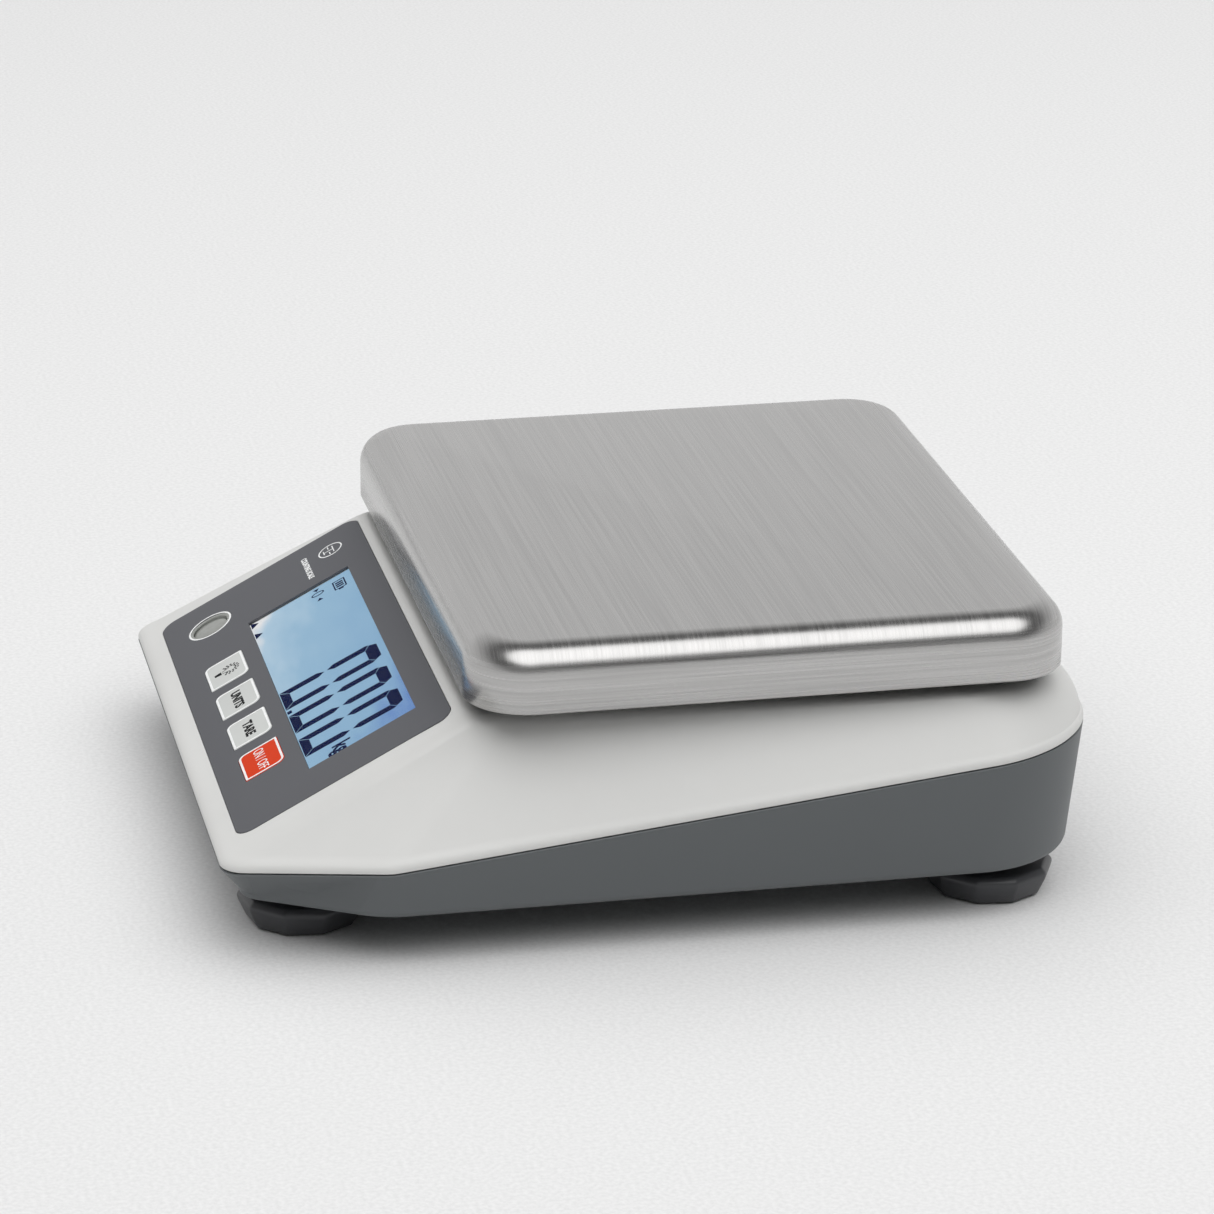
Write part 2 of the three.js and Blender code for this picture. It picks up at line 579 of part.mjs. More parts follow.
// Cast H frame: two cross beams on a centre plate, with a post at each corner
function addPanSupport() {
  const { low, high, reachX, reachY, beam, plate } = SUPPORT;
  const centre = block(-plate / 2, plate / 2, PAN_Y - reachY, PAN_Y + reachY, low, high - 3);
  const mountPad = block(-13, 13, CELL_FRONT, CELL_FRONT + 30, low, high);
  const beams = [-1, 1].map((side) => block(
    -reachX, reachX, PAN_Y + side * reachY - beam / 2, PAN_Y + side * reachY + beam / 2, low, high,
  ));
  const posts = SUPPORT_CORNERS.flatMap(([, x, y]) => [
    post(beam / 2 + 1, low, high, x, y),
    post(POST.radius, high - 1, POST.top, x, y),
  ]);
  const holes = upperBoltSpots().flatMap((y) => [
    post(BOLT.hole, low - 1, high + 1, 0, y),
    post(BOLT.seat, high - 4, high + 1, 0, y),
  ]);
  const window = slab(roundedRectangle(30, 60, 6, 4, 0, PAN_Y + 12), low - 1, high);
  addPiece('pan_support', toGeometry(cut(join(centre, mountPad, ...beams, ...posts), ...holes, window)),
    FINISH.castMetal());
}

// Rubber caps on the support posts
function addBumpers() {
  SUPPORT_CORNERS.forEach(([place, x, y]) => {
    const inside = POST.radius + GAP;
    const roof = POST.top + GAP;
    addPiece(`bumper_${place}`, turned([
      [0, roof], [inside, roof], [inside, BUMPER.low], [BUMPER.radius, BUMPER.low],
      [BUMPER.radius, BUMPER.top - 1], [BUMPER.radius - 1, BUMPER.top], [0, BUMPER.top],
    ], x, y), FINISH.rubber());
  });
}

function addOverloadStops() {
  STOP_PLACES.forEach(([place, x, y]) => {
    const shankLow = FLOOR_TOP + 8;
    const headLow = STOP.top - 4;
    addPiece(`overload_stop_${place}`, turned([
      [0, shankLow], [STOP.shank, shankLow], [STOP.shank, headLow], [STOP.head, headLow],
      [STOP.head, STOP.top], [0, STOP.top],
    ], x, y), FINISH.zinc());
  });
}

// Pressed tray with a rolled edge, an upright skirt and four locating cups welded underneath
function addPan() {
  const { width, depth, top, skirt, edge, corner, sheet } = PAN;
  const steps = 4;
  const loop = (inset) => roundedRectangle(
    width - 2 * inset, depth - 2 * inset, corner - inset, 7, 0, PAN_Y,
  );
  const rolled = (radius, inset, roof) => Array.from({ length: steps + 1 }, (_, step) => {
    const angle = (step / steps) * (Math.PI / 2);
    return flatRing(loop(inset + radius * (1 - Math.cos(angle))), roof - radius * (1 - Math.sin(angle)));
  });
  const rim = top - skirt;
  const rings = [
    ...rolled(edge - sheet, sheet, top - sheet).reverse(),
    flatRing(loop(sheet), rim),
    flatRing(loop(0), rim),
    ...rolled(edge, 0, top),
  ];
  const cups = postsAt(SUPPORT_CORNERS, BUMPER.radius + 3, top - sheet - 5, top - 0.5);
  const wells = postsAt(SUPPORT_CORNERS, BUMPER.radius + 0.8, top - sheet - 6, top - sheet);
  addPiece('weighing_pan', toGeometry(cut(join(loft(rings), ...cups), ...wells)), FINISH.steel());
}

// ---------------------------------------------------------------- feet and fasteners

function addFoot(place, x, y) {
  const { flange, sole, knobLow, knobTop, hub, hubTop, facets } = FOOT;
  const recessTop = knobLow + PAD.recess;
  const knob = toSolid(turned([
    [0, knobLow], [sole, knobLow], [flange - 0.6, knobTop - 5], [flange, knobTop - 2.5],
    [flange - 1.8, knobTop], [hub, knobTop + 0.5], [hub, hubTop], [0, hubTop],
  ], x, y, facets));
  const bore = post(STUD.radius + GAP, STUD.low - GAP, hubTop + 1, x, y);
  const recess = post(PAD.radius + GAP, knobLow - 1, recessTop, x, y, 20);
  addPiece(`foot_knob_${place}`, toGeometry(cut(knob, bore, recess)), FINISH.foot());
  addPiece(`foot_stud_${place}`, post(STUD.radius, STUD.low, STUD.top, x, y), FINISH.zinc());
  addPiece(`foot_pad_${place}`, post(PAD.radius, 0, recessTop - GAP, x, y, 20), FINISH.rubber());
  const insert = cut(toSolid(post(INSERT.radius, INSERT.low, INSERT.top, x, y)),
    post(INSERT.bore, INSERT.low - 1, INSERT.top + 1, x, y));
  addPiece(`foot_insert_${place}`, toGeometry(insert), FINISH.brass());
}

function addCaseScrews() {
  SCREW_SPOTS.forEach(([place, x, y]) => {
    addPiece(`case_screw_${place}`, turned([
      [0, SCREW.headLow], [SCREW.head, SCREW.headLow], [SCREW.head, SCREW.headTop],
      [SCREW.shank, SCREW.headTop], [SCREW.shank, SCREW.top], [0, SCREW.top],
    ], x, y), FINISH.zinc());
  });
}

// ---------------------------------------------------------------- assembly

addTopCover();
addBottomCase();
addOverlay();
addDisplay();
addKeys();
addSpiritLevel();
addElectronics();
addRibbon();
addBattery();
addPowerInlet();
addLoadCell();
addSpacers();
addCellBolts();
addPanSupport();
addBumpers();
addOverloadStops();
addPan();
FOOT_PLACES.forEach(([place, x, y]) => addFoot(place, x, y));
addCaseScrews();

export default scale;
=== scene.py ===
"""Looks of a bench counting scale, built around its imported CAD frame.

Every size is in millimetres in the frame of the part: +X to the operator's right, -Y towards the operator,
+Z up, with the origin on the bench under the middle of the housing. Meshes are made in metres.
"""
import logging
import math
from dataclasses import dataclass, field, replace
from enum import Enum
from functools import cache
from typing import Callable, ClassVar, Iterable, Sequence

import bmesh
import bpy
from mathutils import Matrix, Vector


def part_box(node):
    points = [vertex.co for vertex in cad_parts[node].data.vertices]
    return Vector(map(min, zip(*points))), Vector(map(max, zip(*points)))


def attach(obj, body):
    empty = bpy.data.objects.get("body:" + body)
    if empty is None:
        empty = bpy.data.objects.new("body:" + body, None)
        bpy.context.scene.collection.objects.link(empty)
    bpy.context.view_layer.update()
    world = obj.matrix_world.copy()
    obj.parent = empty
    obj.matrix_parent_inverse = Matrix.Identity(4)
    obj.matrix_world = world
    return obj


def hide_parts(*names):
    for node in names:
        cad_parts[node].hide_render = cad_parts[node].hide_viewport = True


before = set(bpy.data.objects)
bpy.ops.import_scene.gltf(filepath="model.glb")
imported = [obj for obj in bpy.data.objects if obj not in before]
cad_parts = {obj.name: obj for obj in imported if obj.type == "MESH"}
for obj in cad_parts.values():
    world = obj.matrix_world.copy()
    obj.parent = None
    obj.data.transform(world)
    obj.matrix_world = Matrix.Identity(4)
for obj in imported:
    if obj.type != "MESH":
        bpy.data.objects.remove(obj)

LOG = logging.getLogger("counting_scale")
MM = 0.001
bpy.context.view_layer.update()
CORNERS = ("front_left", "front_right", "rear_left", "rear_right")
# Heights between which an upright cut passes the sloping panel at the spirit level.
LEVEL_CUT = (32, 56)

Point = tuple[float, float, float]
Spot = tuple[float, float]
Ring = list[Point]


# -------------------------------------------------------------------------------- colour


def linear(code: str) -> tuple[float, float, float, float]:
    """Turns an sRGB hex colour into linear light.

    Args:
        code: Six hex digits with a leading hash.

    Returns:
        Linear red, green, blue and an alpha of one.
    """
    parts = [int(code[place:place + 2], 16) / 255 for place in (1, 3, 5)]
    steps = [value / 12.92 if value <= 0.04045 else ((value + 0.055) / 1.055) ** 2.4 for value in parts]
    return (*steps, 1.0)


# -------------------------------------------------------------------------------- shading


def add_node(tree: bpy.types.NodeTree, kind: str, values: dict | None = None, links: dict | None = None,
             **settings: object) -> bpy.types.Node:
    """Adds one node with its settings, input values and incoming links.

    Args:
        tree: The node tree that the node joins.
        kind: The node's Blender type name.
        values: Input socket names or places, with the constant that each one holds.
        links: Input socket names or places, with the output socket that feeds each one.
        **settings: Properties of the node itself.

    Returns:
        The new node.
    """
    made = tree.nodes.new(kind)
    for name, value in settings.items():
        setattr(made, name, value)
    for key, value in (values or {}).items():
        made.inputs[key].default_value = value
    for key, source in (links or {}).items():
        tree.links.new(source, made.inputs[key])
    return made


def colour_ramp(tree: bpy.types.NodeTree, source: bpy.types.NodeSocket,
                stops: Sequence[tuple[float, tuple]]) -> bpy.types.NodeSocket:
    """Adds a colour ramp over a number.

    Args:
        tree: The node tree that the ramp joins.
        source: The output socket that gives the number.
        stops: Position and linear colour of each stop, from low to high.

    Returns:
        The ramp's colour output.
    """
    ramp = add_node(tree, "ShaderNodeValToRGB", links={"Fac": source})
    while len(ramp.color_ramp.elements) < len(stops):
        ramp.color_ramp.elements.new(0.5)
    for element, (place, colour) in zip(ramp.color_ramp.elements, stops):
        element.position = place
        element.color = colour
    return ramp.outputs["Color"]


def scaled(colour: tuple, share: float) -> tuple:
    """Returns a linear colour made lighter or darker by a share."""
    return (*(min(1.0, value * share) for value in colour[:3]), 1.0)


class Finish:
    """A named surface finish that makes its material once."""

    name: str

    def material(self) -> bpy.types.Material:
        """Returns the finish's material, which is built on first use."""
        found = bpy.data.materials.get(self.name)
        return found or self._build(bpy.data.materials.new(self.name))

    def _build(self, made: bpy.types.Material) -> bpy.types.Material:
        """Gives a new material its shader and dresses it.

        Args:
            made: The empty material.

        Returns:
            The same material.
        """
        made.use_nodes = True
        made.node_tree.nodes.clear()
        shader = add_node(made.node_tree, "ShaderNodeBsdfPrincipled")
        add_node(made.node_tree, "ShaderNodeOutputMaterial", links={"Surface": shader.outputs[0]})
        self.dress(made.node_tree, shader)
        return made

    def dress(self, tree: bpy.types.NodeTree, shader: bpy.types.Node) -> None:
        """Sets the shader up for this finish.

        Args:
            tree: The material's node tree.
            shader: Its principled shader.
        """
        raise NotImplementedError


def noise(tree: bpy.types.NodeTree, size_mm: Sequence[float],
          detail: float = 2.0) -> bpy.types.NodeSocket:
    """Adds noise whose features have a real size along each axis.

    Args:
        tree: The node tree that the noise joins.
        size_mm: Feature size along X, Y and Z.
        detail: Octaves of finer detail.

    Returns:
        The noise's value output.
    """
    place = add_node(tree, "ShaderNodeTexCoord")
    scale = [1 / (size * MM) for size in size_mm]
    stretch = add_node(tree, "ShaderNodeMapping", values={"Scale": scale},
                       links={"Vector": place.outputs["Object"]})
    made = add_node(tree, "ShaderNodeTexNoise", values={"Scale": 1.0, "Detail": detail},
                    links={"Vector": stretch.outputs[0]})
    return made.outputs[0]


def bump(tree: bpy.types.NodeTree, height: bpy.types.NodeSocket,
         depth_mm: float) -> bpy.types.NodeSocket:
    """Adds a bump of a real depth.

    Args:
        tree: The node tree that the bump joins.
        height: The output socket that gives the height.
        depth_mm: The relief's depth.

    Returns:
        The bump's normal output.
    """
    made = add_node(tree, "ShaderNodeBump", values={"Strength": 1.0, "Distance": depth_mm * MM},
                    links={"Height": height})
    return made.outputs[0]


def rough_range(tree: bpy.types.NodeTree, source: bpy.types.NodeSocket, low: float,
                high: float) -> bpy.types.NodeSocket:
    """Spreads a number from 0.3 to 0.7 over a range of roughness.

    Args:
        tree: The node tree that the range joins.
        source: The output socket that gives the number.
        low: Roughness at the low end.
        high: Roughness at the high end.

    Returns:
        The roughness output.
    """
    made = add_node(tree, "ShaderNodeMapRange", links={"Value": source},
                    values={"From Min": 0.3, "From Max": 0.7, "To Min": low, "To Max": high})
    return made.outputs[0]


@dataclass(frozen=True)
class MouldedPlastic(Finish):
    """Injection-moulded ABS: an even colour with a fine spark-eroded grain that softens its highlights."""

    name: str
    colour: str
    roughness: float = 0.45
    grain_mm: float = 0.5
    depth_mm: float = 0.012
    gloss: float = 0.5

    def dress(self, tree: bpy.types.NodeTree, shader: bpy.types.Node) -> None:
        """Lays the grain over slow drifts of tone, as handled plastic has.

        Args:
            tree: The material's node tree.
            shader: Its principled shader.
        """
        tone = linear(self.colour)
        drift = noise(tree, (45, 45, 45), 3)
        mixed = colour_ramp(tree, drift, [(0.3, scaled(tone, 0.975)), (0.7, scaled(tone, 1.02))])
        tree.links.new(mixed, shader.inputs["Base Color"])
        grain = noise(tree, (self.grain_mm,) * 3, 2)
        tree.links.new(rough_range(tree, drift, self.roughness - 0.03, self.roughness + 0.03),
                       shader.inputs["Roughness"])
        tree.links.new(bump(tree, grain, self.depth_mm), shader.inputs["Normal"])
        shader.inputs["IOR"].default_value = 1.53
        shader.inputs["Specular IOR Level"].default_value = self.gloss


@dataclass(frozen=True)
class BrushedStainless(Finish):
    """Brushed stainless sheet: fine lines along X on the flat and round the rim on the upright skirt."""

    name: str = "brushed stainless"
    colour: str = "#bdbcbb"
    line_mm: float = 0.7
    run_mm: float = 70.0

    def dress(self, tree: bpy.types.NodeTree, shader: bpy.types.Node) -> None:
        """Draws the brush lines in tone, gloss and height, coarser than real so that they show.

        Args:
            tree: The material's node tree.
            shader: Its principled shader.
        """
        tone = linear(self.colour)
        flat = noise(tree, (self.run_mm, self.line_mm, self.run_mm), 5)
        wall = noise(tree, (self.run_mm, self.run_mm, self.line_mm), 3)
        facing = add_node(tree, "ShaderNodeNewGeometry")
        parts = add_node(tree, "ShaderNodeSeparateXYZ", links={0: facing.outputs["Normal"]})
        upward = add_node(tree, "ShaderNodeMapRange", interpolation_type="SMOOTHSTEP",
                          values={"From Min": 0.25, "From Max": 0.6}, links={"Value": parts.outputs["Z"]})
        lines = add_node(tree, "ShaderNodeMix", links={0: upward.outputs[0], 2: wall, 3: flat}).outputs[0]
        mixed = colour_ramp(tree, lines, [(0.32, scaled(tone, 0.86)), (0.68, scaled(tone, 1.08))])
        tree.links.new(mixed, shader.inputs["Base Color"])
        tree.links.new(rough_range(tree, lines, 0.22, 0.3), shader.inputs["Roughness"])
        tree.links.new(bump(tree, lines, 0.004), shader.inputs["Normal"])
        shader.inputs["Metallic"].default_value = 1.0


@dataclass(frozen=True)
class Metal(Finish):
    """Plated, cast or machined metal with a fine even texture from its making."""

    name: str
    colour: str
    roughness: float
    grain_mm: float = 0.8
    depth_mm: float = 0.01

    def dress(self, tree: bpy.types.NodeTree, shader: bpy.types.Node) -> None:
        """Mottles the tone and the gloss together, as plating and casting skins do.

        Args:
            tree: The material's node tree.
            shader: Its principled shader.
        """
        tone = linear(self.colour)
        skin = noise(tree, (self.grain_mm,) * 3, 4)
        mixed = colour_ramp(tree, skin, [(0.3, scaled(tone, 0.85)), (0.7, scaled(tone, 1.08))])
        tree.links.new(mixed, shader.inputs["Base Color"])
        tree.links.new(rough_range(tree, skin, self.roughness - 0.05, self.roughness + 0.08),
                       shader.inputs["Roughness"])
        tree.links.new(bump(tree, skin, self.depth_mm), shader.inputs["Normal"])
        shader.inputs["Metallic"].default_value = 1.0


@dataclass(frozen=True)
class Rubber(Finish):
    """Moulded nitrile rubber: matt black with dust in its pores."""

    name: str = "nitrile rubber"
    colour: str = "#26272a"

    def dress(self, tree: bpy.types.NodeTree, shader: bpy.types.Node) -> None:
        """Dusts the pores lighter and keeps the whole surface matt.

        Args:
            tree: The material's node tree.
            shader: Its principled shader.
        """
        tone = linear(self.colour)
        pores = noise(tree, (1.2, 1.2, 1.2), 5)
        mixed = colour_ramp(tree, pores, [(0.35, tone), (0.75, scaled(tone, 1.9))])
        tree.links.new(mixed, shader.inputs["Base Color"])
        tree.links.new(rough_range(tree, pores, 0.72, 0.9), shader.inputs["Roughness"])
        tree.links.new(bump(tree, pores, 0.03), shader.inputs["Normal"])
        shader.inputs["IOR"].default_value = 1.52


@dataclass(frozen=True)
class ClearPane(Finish):
    """Clear polycarbonate with an anti-glare face: it shows what is behind it, with a faint satin sheen."""

    name: str = "clear polycarbonate"
    colour: str = "#14181c"

    def dress(self, tree: bpy.types.NodeTree, shader: bpy.types.Node) -> None:
        """Makes it thin and almost invisible, with fine scuffs in its gloss.

        Args:
            tree: The material's node tree.
            shader: Its principled shader.
        """
        scuffs = noise(tree, (6, 6, 6), 4)
        tree.links.new(rough_range(tree, scuffs, 0.06, 0.14), shader.inputs["Roughness"])
        shader.inputs["Base Color"].default_value = linear(self.colour)
        shader.inputs["IOR"].default_value = 1.58
        shader.inputs["Alpha"].default_value = 0.05


@dataclass(frozen=True)
class BacklitCell(Finish):
    """A backlit liquid crystal cell: pale where the lamp is near, deeper blue towards the far corner."""

    name: str = "backlit display cell"

    def dress(self, tree: bpy.types.NodeTree, shader: bpy.types.Node) -> None:
        """Grades the glow across the cell's own UV map and clouds it a little.

        Args:
            tree: The material's node tree.
            shader: Its principled shader.
        """
        place = add_node(tree, "ShaderNodeTexCoord")
        parts = add_node(tree, "ShaderNodeSeparateXYZ", links={0: place.outputs["UV"]})
        lifted = add_node(tree, "ShaderNodeMath", operation="MULTIPLY_ADD",
                          values={1: 0.5, 2: -0.02}, links={0: parts.outputs["Y"]})
        slope = add_node(tree, "ShaderNodeMath", operation="MULTIPLY_ADD", values={1: 0.55},
                         links={0: parts.outputs["X"], 2: lifted.outputs[0]})
        clouds = noise(tree, (26, 9, 9), 2)
        cloudy = add_node(tree, "ShaderNodeMath", operation="MULTIPLY_ADD",
                          values={1: 0.5, 2: -0.25}, links={0: clouds})
        total = add_node(tree, "ShaderNodeMath", operation="ADD",
                         links={0: slope.outputs[0], 1: cloudy.outputs[0]})
        graded = colour_ramp(tree, total.outputs[0], [
            (0.0, linear("#ffffff")), (0.1, linear("#c3e0f4")), (0.35, linear("#a5cce8")),
            (0.75, linear("#98c1e2")), (1.0, linear("#7095d6")),
        ])
        tree.links.new(graded, shader.inputs["Emission Color"])
        shader.inputs["Base Color"].default_value = linear("#2b3540")
        shader.inputs["Emission Strength"].default_value = 0.78
        shader.inputs["Specular IOR Level"].default_value = 0.0
        shader.inputs["Roughness"].default_value = 0.35
        shader.inputs["IOR"].default_value = 1.52


@dataclass(frozen=True)
class Ink(Finish):
    """Screen-printed ink or a dark crystal segment: flat and dense, a little uneven as prints are."""

    name: str
    colour: str
    roughness: float = 0.55
    gloss: float = 0.08

    def dress(self, tree: bpy.types.NodeTree, shader: bpy.types.Node) -> None:
        """Varies the density of the print slightly.

        Args:
            tree: The material's node tree.
            shader: Its principled shader.
        """
        tone = linear(self.colour)
        density = noise(tree, (1.5, 1.5, 1.5), 3)
        mixed = colour_ramp(tree, density, [(0.3, scaled(tone, 0.93)), (0.7, scaled(tone, 1.04))])
        tree.links.new(mixed, shader.inputs["Base Color"])
        shader.inputs["Roughness"].default_value = self.roughness
        shader.inputs["IOR"].default_value = 1.5
        shader.inputs["Specular IOR Level"].default_value = self.gloss


class Shade(Enum):
    """The finishes that the scale wears, named for what they are."""

    # Shells: satin, with a broad soft highlight that rolls over their rounded edges.
    COVER = MouldedPlastic("light grey ABS", "#d3d3d1", 0.42)
    BASE = MouldedPlastic("dark grey ABS", "#5a5e60", 0.46)
    # Keypad prints: flat and matt, so that the panel shows one even tone.
    FILM = MouldedPlastic("matt printed polyester film", "#5c5d61", 0.6, 0.3, 0.006, 0.2)
    KEY = MouldedPlastic("light grey keypad print", "#c9cbc9", 0.5, 0.3, 0.006, 0.2)
    RED_KEY = MouldedPlastic("orange red keypad print", "#d33a10", 0.6, 0.3, 0.006, 0.15)
    # Small mouldings: the feet shine at their facets, the others stay quiet inside the case.
    FOOT = MouldedPlastic("charcoal polyamide", "#3b3c3f", 0.36, 0.7, 0.01)
    BLACK = MouldedPlastic("black polyamide", "#1d1e20", 0.4)
    MILK = MouldedPlastic("milk white acrylic", "#e9eef2", 0.3)
    RIBBON = MouldedPlastic("grey PVC ribbon", "#8f949a", 0.5)
    BOARD = MouldedPlastic("green solder resist", "#24573a", 0.25, 1.0, 0.01)
    # Metals: the pan streaks its reflections along the brush lines, the rest are bright and even.
    STEEL = BrushedStainless()
    ZINC = Metal("zinc plated steel", "#b3b6b8", 0.3)
    BRASS = Metal("turned brass", "#c2a14d", 0.28)
    CAST = Metal("bead blasted aluminium", "#a5a8aa", 0.5, 0.6, 0.03)
    RUBBER = Rubber()
    # Display and level: a clear pane over a glowing cell, and a frosted vial that catches the light.
    PANE = ClearPane()
    CELL = BacklitCell()
    WHITE_INK = Ink("white screen ink", "#f2f3f3")
    BLACK_INK = Ink("black screen ink", "#151618")
    SEGMENT = Ink("dark crystal segment", "#141d47", 0.6, 0.0)
    LEVEL_GLASS = Ink("frosted acrylic over level fluid", "#8f918d", 0.22, 0.5)

    @property
    def material(self) -> bpy.types.Material:
        """The material of this finish."""
        return self.value.material()


# -------------------------------------------------------------------------------- outlines


def rounded_loop(corners: Sequence[tuple[float, float, float, int]], guard: float = 0.8) -> list[Spot]:
    """Rounds each corner of a plan loop, anticlockwise.

    Args:
        corners: X, Y, radius and number of arc points of each corner.
        guard: Distance from each arc to an extra point, which keeps the shading of the straights flat.

    Returns:
        The loop's points.
    """
    loop: list[Spot] = []
    for index, (x, y, radius, count) in enumerate(corners):
        here = Vector((x, y))
        back = (Vector(corners[index - 1][:2]) - here).normalized()
        ahead = (Vector(corners[(index + 1) % len(corners)][:2]) - here).normalized()
        half = math.acos(max(-1.0, min(1.0, back.dot(ahead)))) / 2
        reach = radius / math.tan(half)
        middle = here + (back + ahead).normalized() * (radius / math.sin(half))
        start = here + back * reach - middle
        outwards = ahead.cross(back) < 0
        turn = (2 * half - math.pi) if outwards else (math.pi - 2 * half)
        loop.append(tuple(here + back * (reach + guard)))
        for step in range(count):
            angle = turn * step / (count - 1)
            loop.append(tuple(middle + Matrix.Rotation(angle, 2) @ start))
        loop.append(tuple(here + ahead * (reach + guard)))
    return loop


def rectangle_loop(width: float, depth: float, radius: float, centre: Spot = (0.0, 0.0),
                   count: int = 8, guard: float = 0.5) -> list[Spot]:
    """Draws a rounded rectangle.

    Args:
        width: Size along X.
        depth: Size along Y.
        radius: Radius of the corners.
        centre: Its middle.
        count: Points of each arc.
        guard: Distance from each arc to its extra point.

    Returns:
        The loop's points, anticlockwise.
    """
    x, y = centre
    return rounded_loop([(x + sx * width / 2, y + sy * depth / 2, radius, count)
                         for sx, sy in ((1, -1), (1, 1), (-1, 1), (-1, -1))], guard)


def circle_loop(radius: float, centre: Spot = (0.0, 0.0), sides: int = 48,
                phase: float = 0.0) -> list[Spot]:
    """Draws a circle or a regular polygon.

    Args:
        radius: Distance from the centre to each point.
        centre: Its middle.
        sides: Number of points.
        phase: Turn of the first point, in radians.

    Returns:
        The loop's points, anticlockwise.
    """
    turns = [phase + 2 * math.pi * step / sides for step in range(sides)]
    return [(centre[0] + radius * math.cos(turn), centre[1] + radius * math.sin(turn)) for turn in turns]


def at_height(loop: Iterable[Spot], z: float) -> Ring:
    """Lifts a plan loop to a height."""
    return [(x, y, z) for x, y in loop]


def bezier_rings(start: Ring, corner: Ring, end: Ring, steps: int) -> list[Ring]:
    """Rounds the edge between two walls that meet at a corner ring.

    Args:
        start: Ring where the rounding begins.
        corner: Ring where the walls would meet.
        end: Ring where the rounding ends.
        steps: Number of strips.

    Returns:
        The rings from start to end, both included.
    """
    rings = []
    for step in range(steps + 1):
        share = step / steps
        weights = ((1 - share) ** 2, 2 * share * (1 - share), share ** 2)
        ring = []
        for trio in zip(start, corner, end):
            ring.append(tuple(sum(weight * point[axis] for weight, point in zip(weights, trio))
                              for axis in range(3)))
        rings.append(ring)
    return rings


# -------------------------------------------------------------------------------- meshes


@dataclass
class Blank:
    """Vertices and faces of a piece in the making, in millimetres."""

    points: list[Point] = field(default_factory=list)
    faces: list[list[int]] = field(default_factory=list)

    def skin(self, rings: Sequence[Ring], capped: bool = True) -> "Blank":
        """Adds a closed skin through rings of equal count.

        Args:
            rings: Rings that go up an outer wall and down an inner one.
            capped: False joins the last ring to the first, as on a ring-shaped piece.

        Returns:
            This blank.
        """
        base, count = len(self.points), len(rings[0])
        for ring in rings:
            self.points.extend(ring)
        pairs = list(range(len(rings) - 1)) + ([] if capped else [len(rings) - 1])
        for ring in pairs:
            low = base + ring * count
            high = base + ((ring + 1) % len(rings)) * count
            for step in range(count):
                after = (step + 1) % count
                self.faces.append([low + step, low + after, high + after, high + step])
        if capped:
            last = base + (len(rings) - 1) * count
            self.faces.append([base + step for step in reversed(range(count))])
            self.faces.append([last + step for step in range(count)])
        return self

    def slab(self, loop: Sequence[Spot], low: float, high: float) -> "Blank":
        """Adds a plate with upright edges and returns this blank."""
        return self.skin([at_height(loop, low), at_height(loop, high)])

    def bevelled_slab(self, loop_at: Callable[[float], list[Spot]], low: float, high: float,
                      edge: float) -> "Blank":
        """Adds a plate whose upper edge is rounded.

        Args:
            loop_at: Gives the plan loop for an inset.
            low: Height of the underside.
            high: Height of the top.
            edge: Radius of the rounding.

        Returns:
            This blank.
        """
        rounding = bezier_rings(at_height(loop_at(0), high - edge), at_height(loop_at(0), high),
                                at_height(loop_at(edge), high), 4)
        return self.skin([at_height(loop_at(0), low), *rounding])

    def turned(self, profile: Sequence[Spot], centre: Spot, sides: int = 48, phase: float = 0.0) -> "Blank":
        """Adds a solid of revolution with flat ends.

        Args:
            profile: Radius and height of each ring, from the lower face to the upper one.
            centre: Plan position of the axis.
            sides: Number of sides.
            phase: Turn of the first side, in radians.

        Returns:
            This blank.
        """
        return self.skin([at_height(circle_loop(radius, centre, sides, phase), height)
                          for radius, height in profile])

    def box(self, low: Point, high: Point) -> "Blank":
        """Adds a plain block between two corners and returns this blank."""
        loop = [(low[0], low[1]), (high[0], low[1]), (high[0], high[1]), (low[0], high[1])]
        return self.slab(loop, low[2], high[2])

    def merge(self, other: "Blank", change: Callable[[Point], Point]) -> "Blank":
        """Adds another blank's shape.

        Args:
            other: The blank that is added.
            change: Gives the new place of each of its points.

        Returns:
            This blank.
        """
        start = len(self.points)
        self.points.extend(change(point) for point in other.points)
        self.faces.extend([start + index for index in face] for face in other.faces)
        return self

    def piece(self, name: str, shade: Shade, place: Matrix | None = None,
              sharp: float = 30.0) -> bpy.types.Object:
        """Makes a Blender object of this blank.

        Args:
            name: The object's name.
            shade: Its finish.
            place: Where its own frame lies, in metres.
            sharp: Edges that turn by more than this many degrees stay crisp.

        Returns:
            The new object, at the origin.
        """
        mesh = bpy.data.meshes.new(name)
        mesh.from_pydata([tuple(value * MM for value in point) for point in self.points], [], self.faces)
        mesh.update()
        if place:
            mesh.transform(place)
        made = bpy.data.objects.new(name, mesh)
        bpy.context.scene.collection.objects.link(made)
        finish_mesh(made, shade, sharp)
        return made


def finish_mesh(made: bpy.types.Object, shade: Shade, sharp: float) -> None:
    """Merges doubles, shades smooth between crisp edges and gives a piece its finish.

    Args:
        made: The piece.
        shade: Its finish.
        sharp: Edges that turn by more than this many degrees stay crisp.
    """
    mesh = made.data
    bm = bmesh.new()
    bm.from_mesh(mesh)
    bmesh.ops.remove_doubles(bm, verts=bm.verts, dist=0.002 * MM)
    bm.to_mesh(mesh)
    bm.free()
    mesh.materials.clear()
    mesh.materials.append(shade.material)
    mesh.shade_smooth()
    mesh.set_sharp_from_angle(angle=math.radians(sharp))


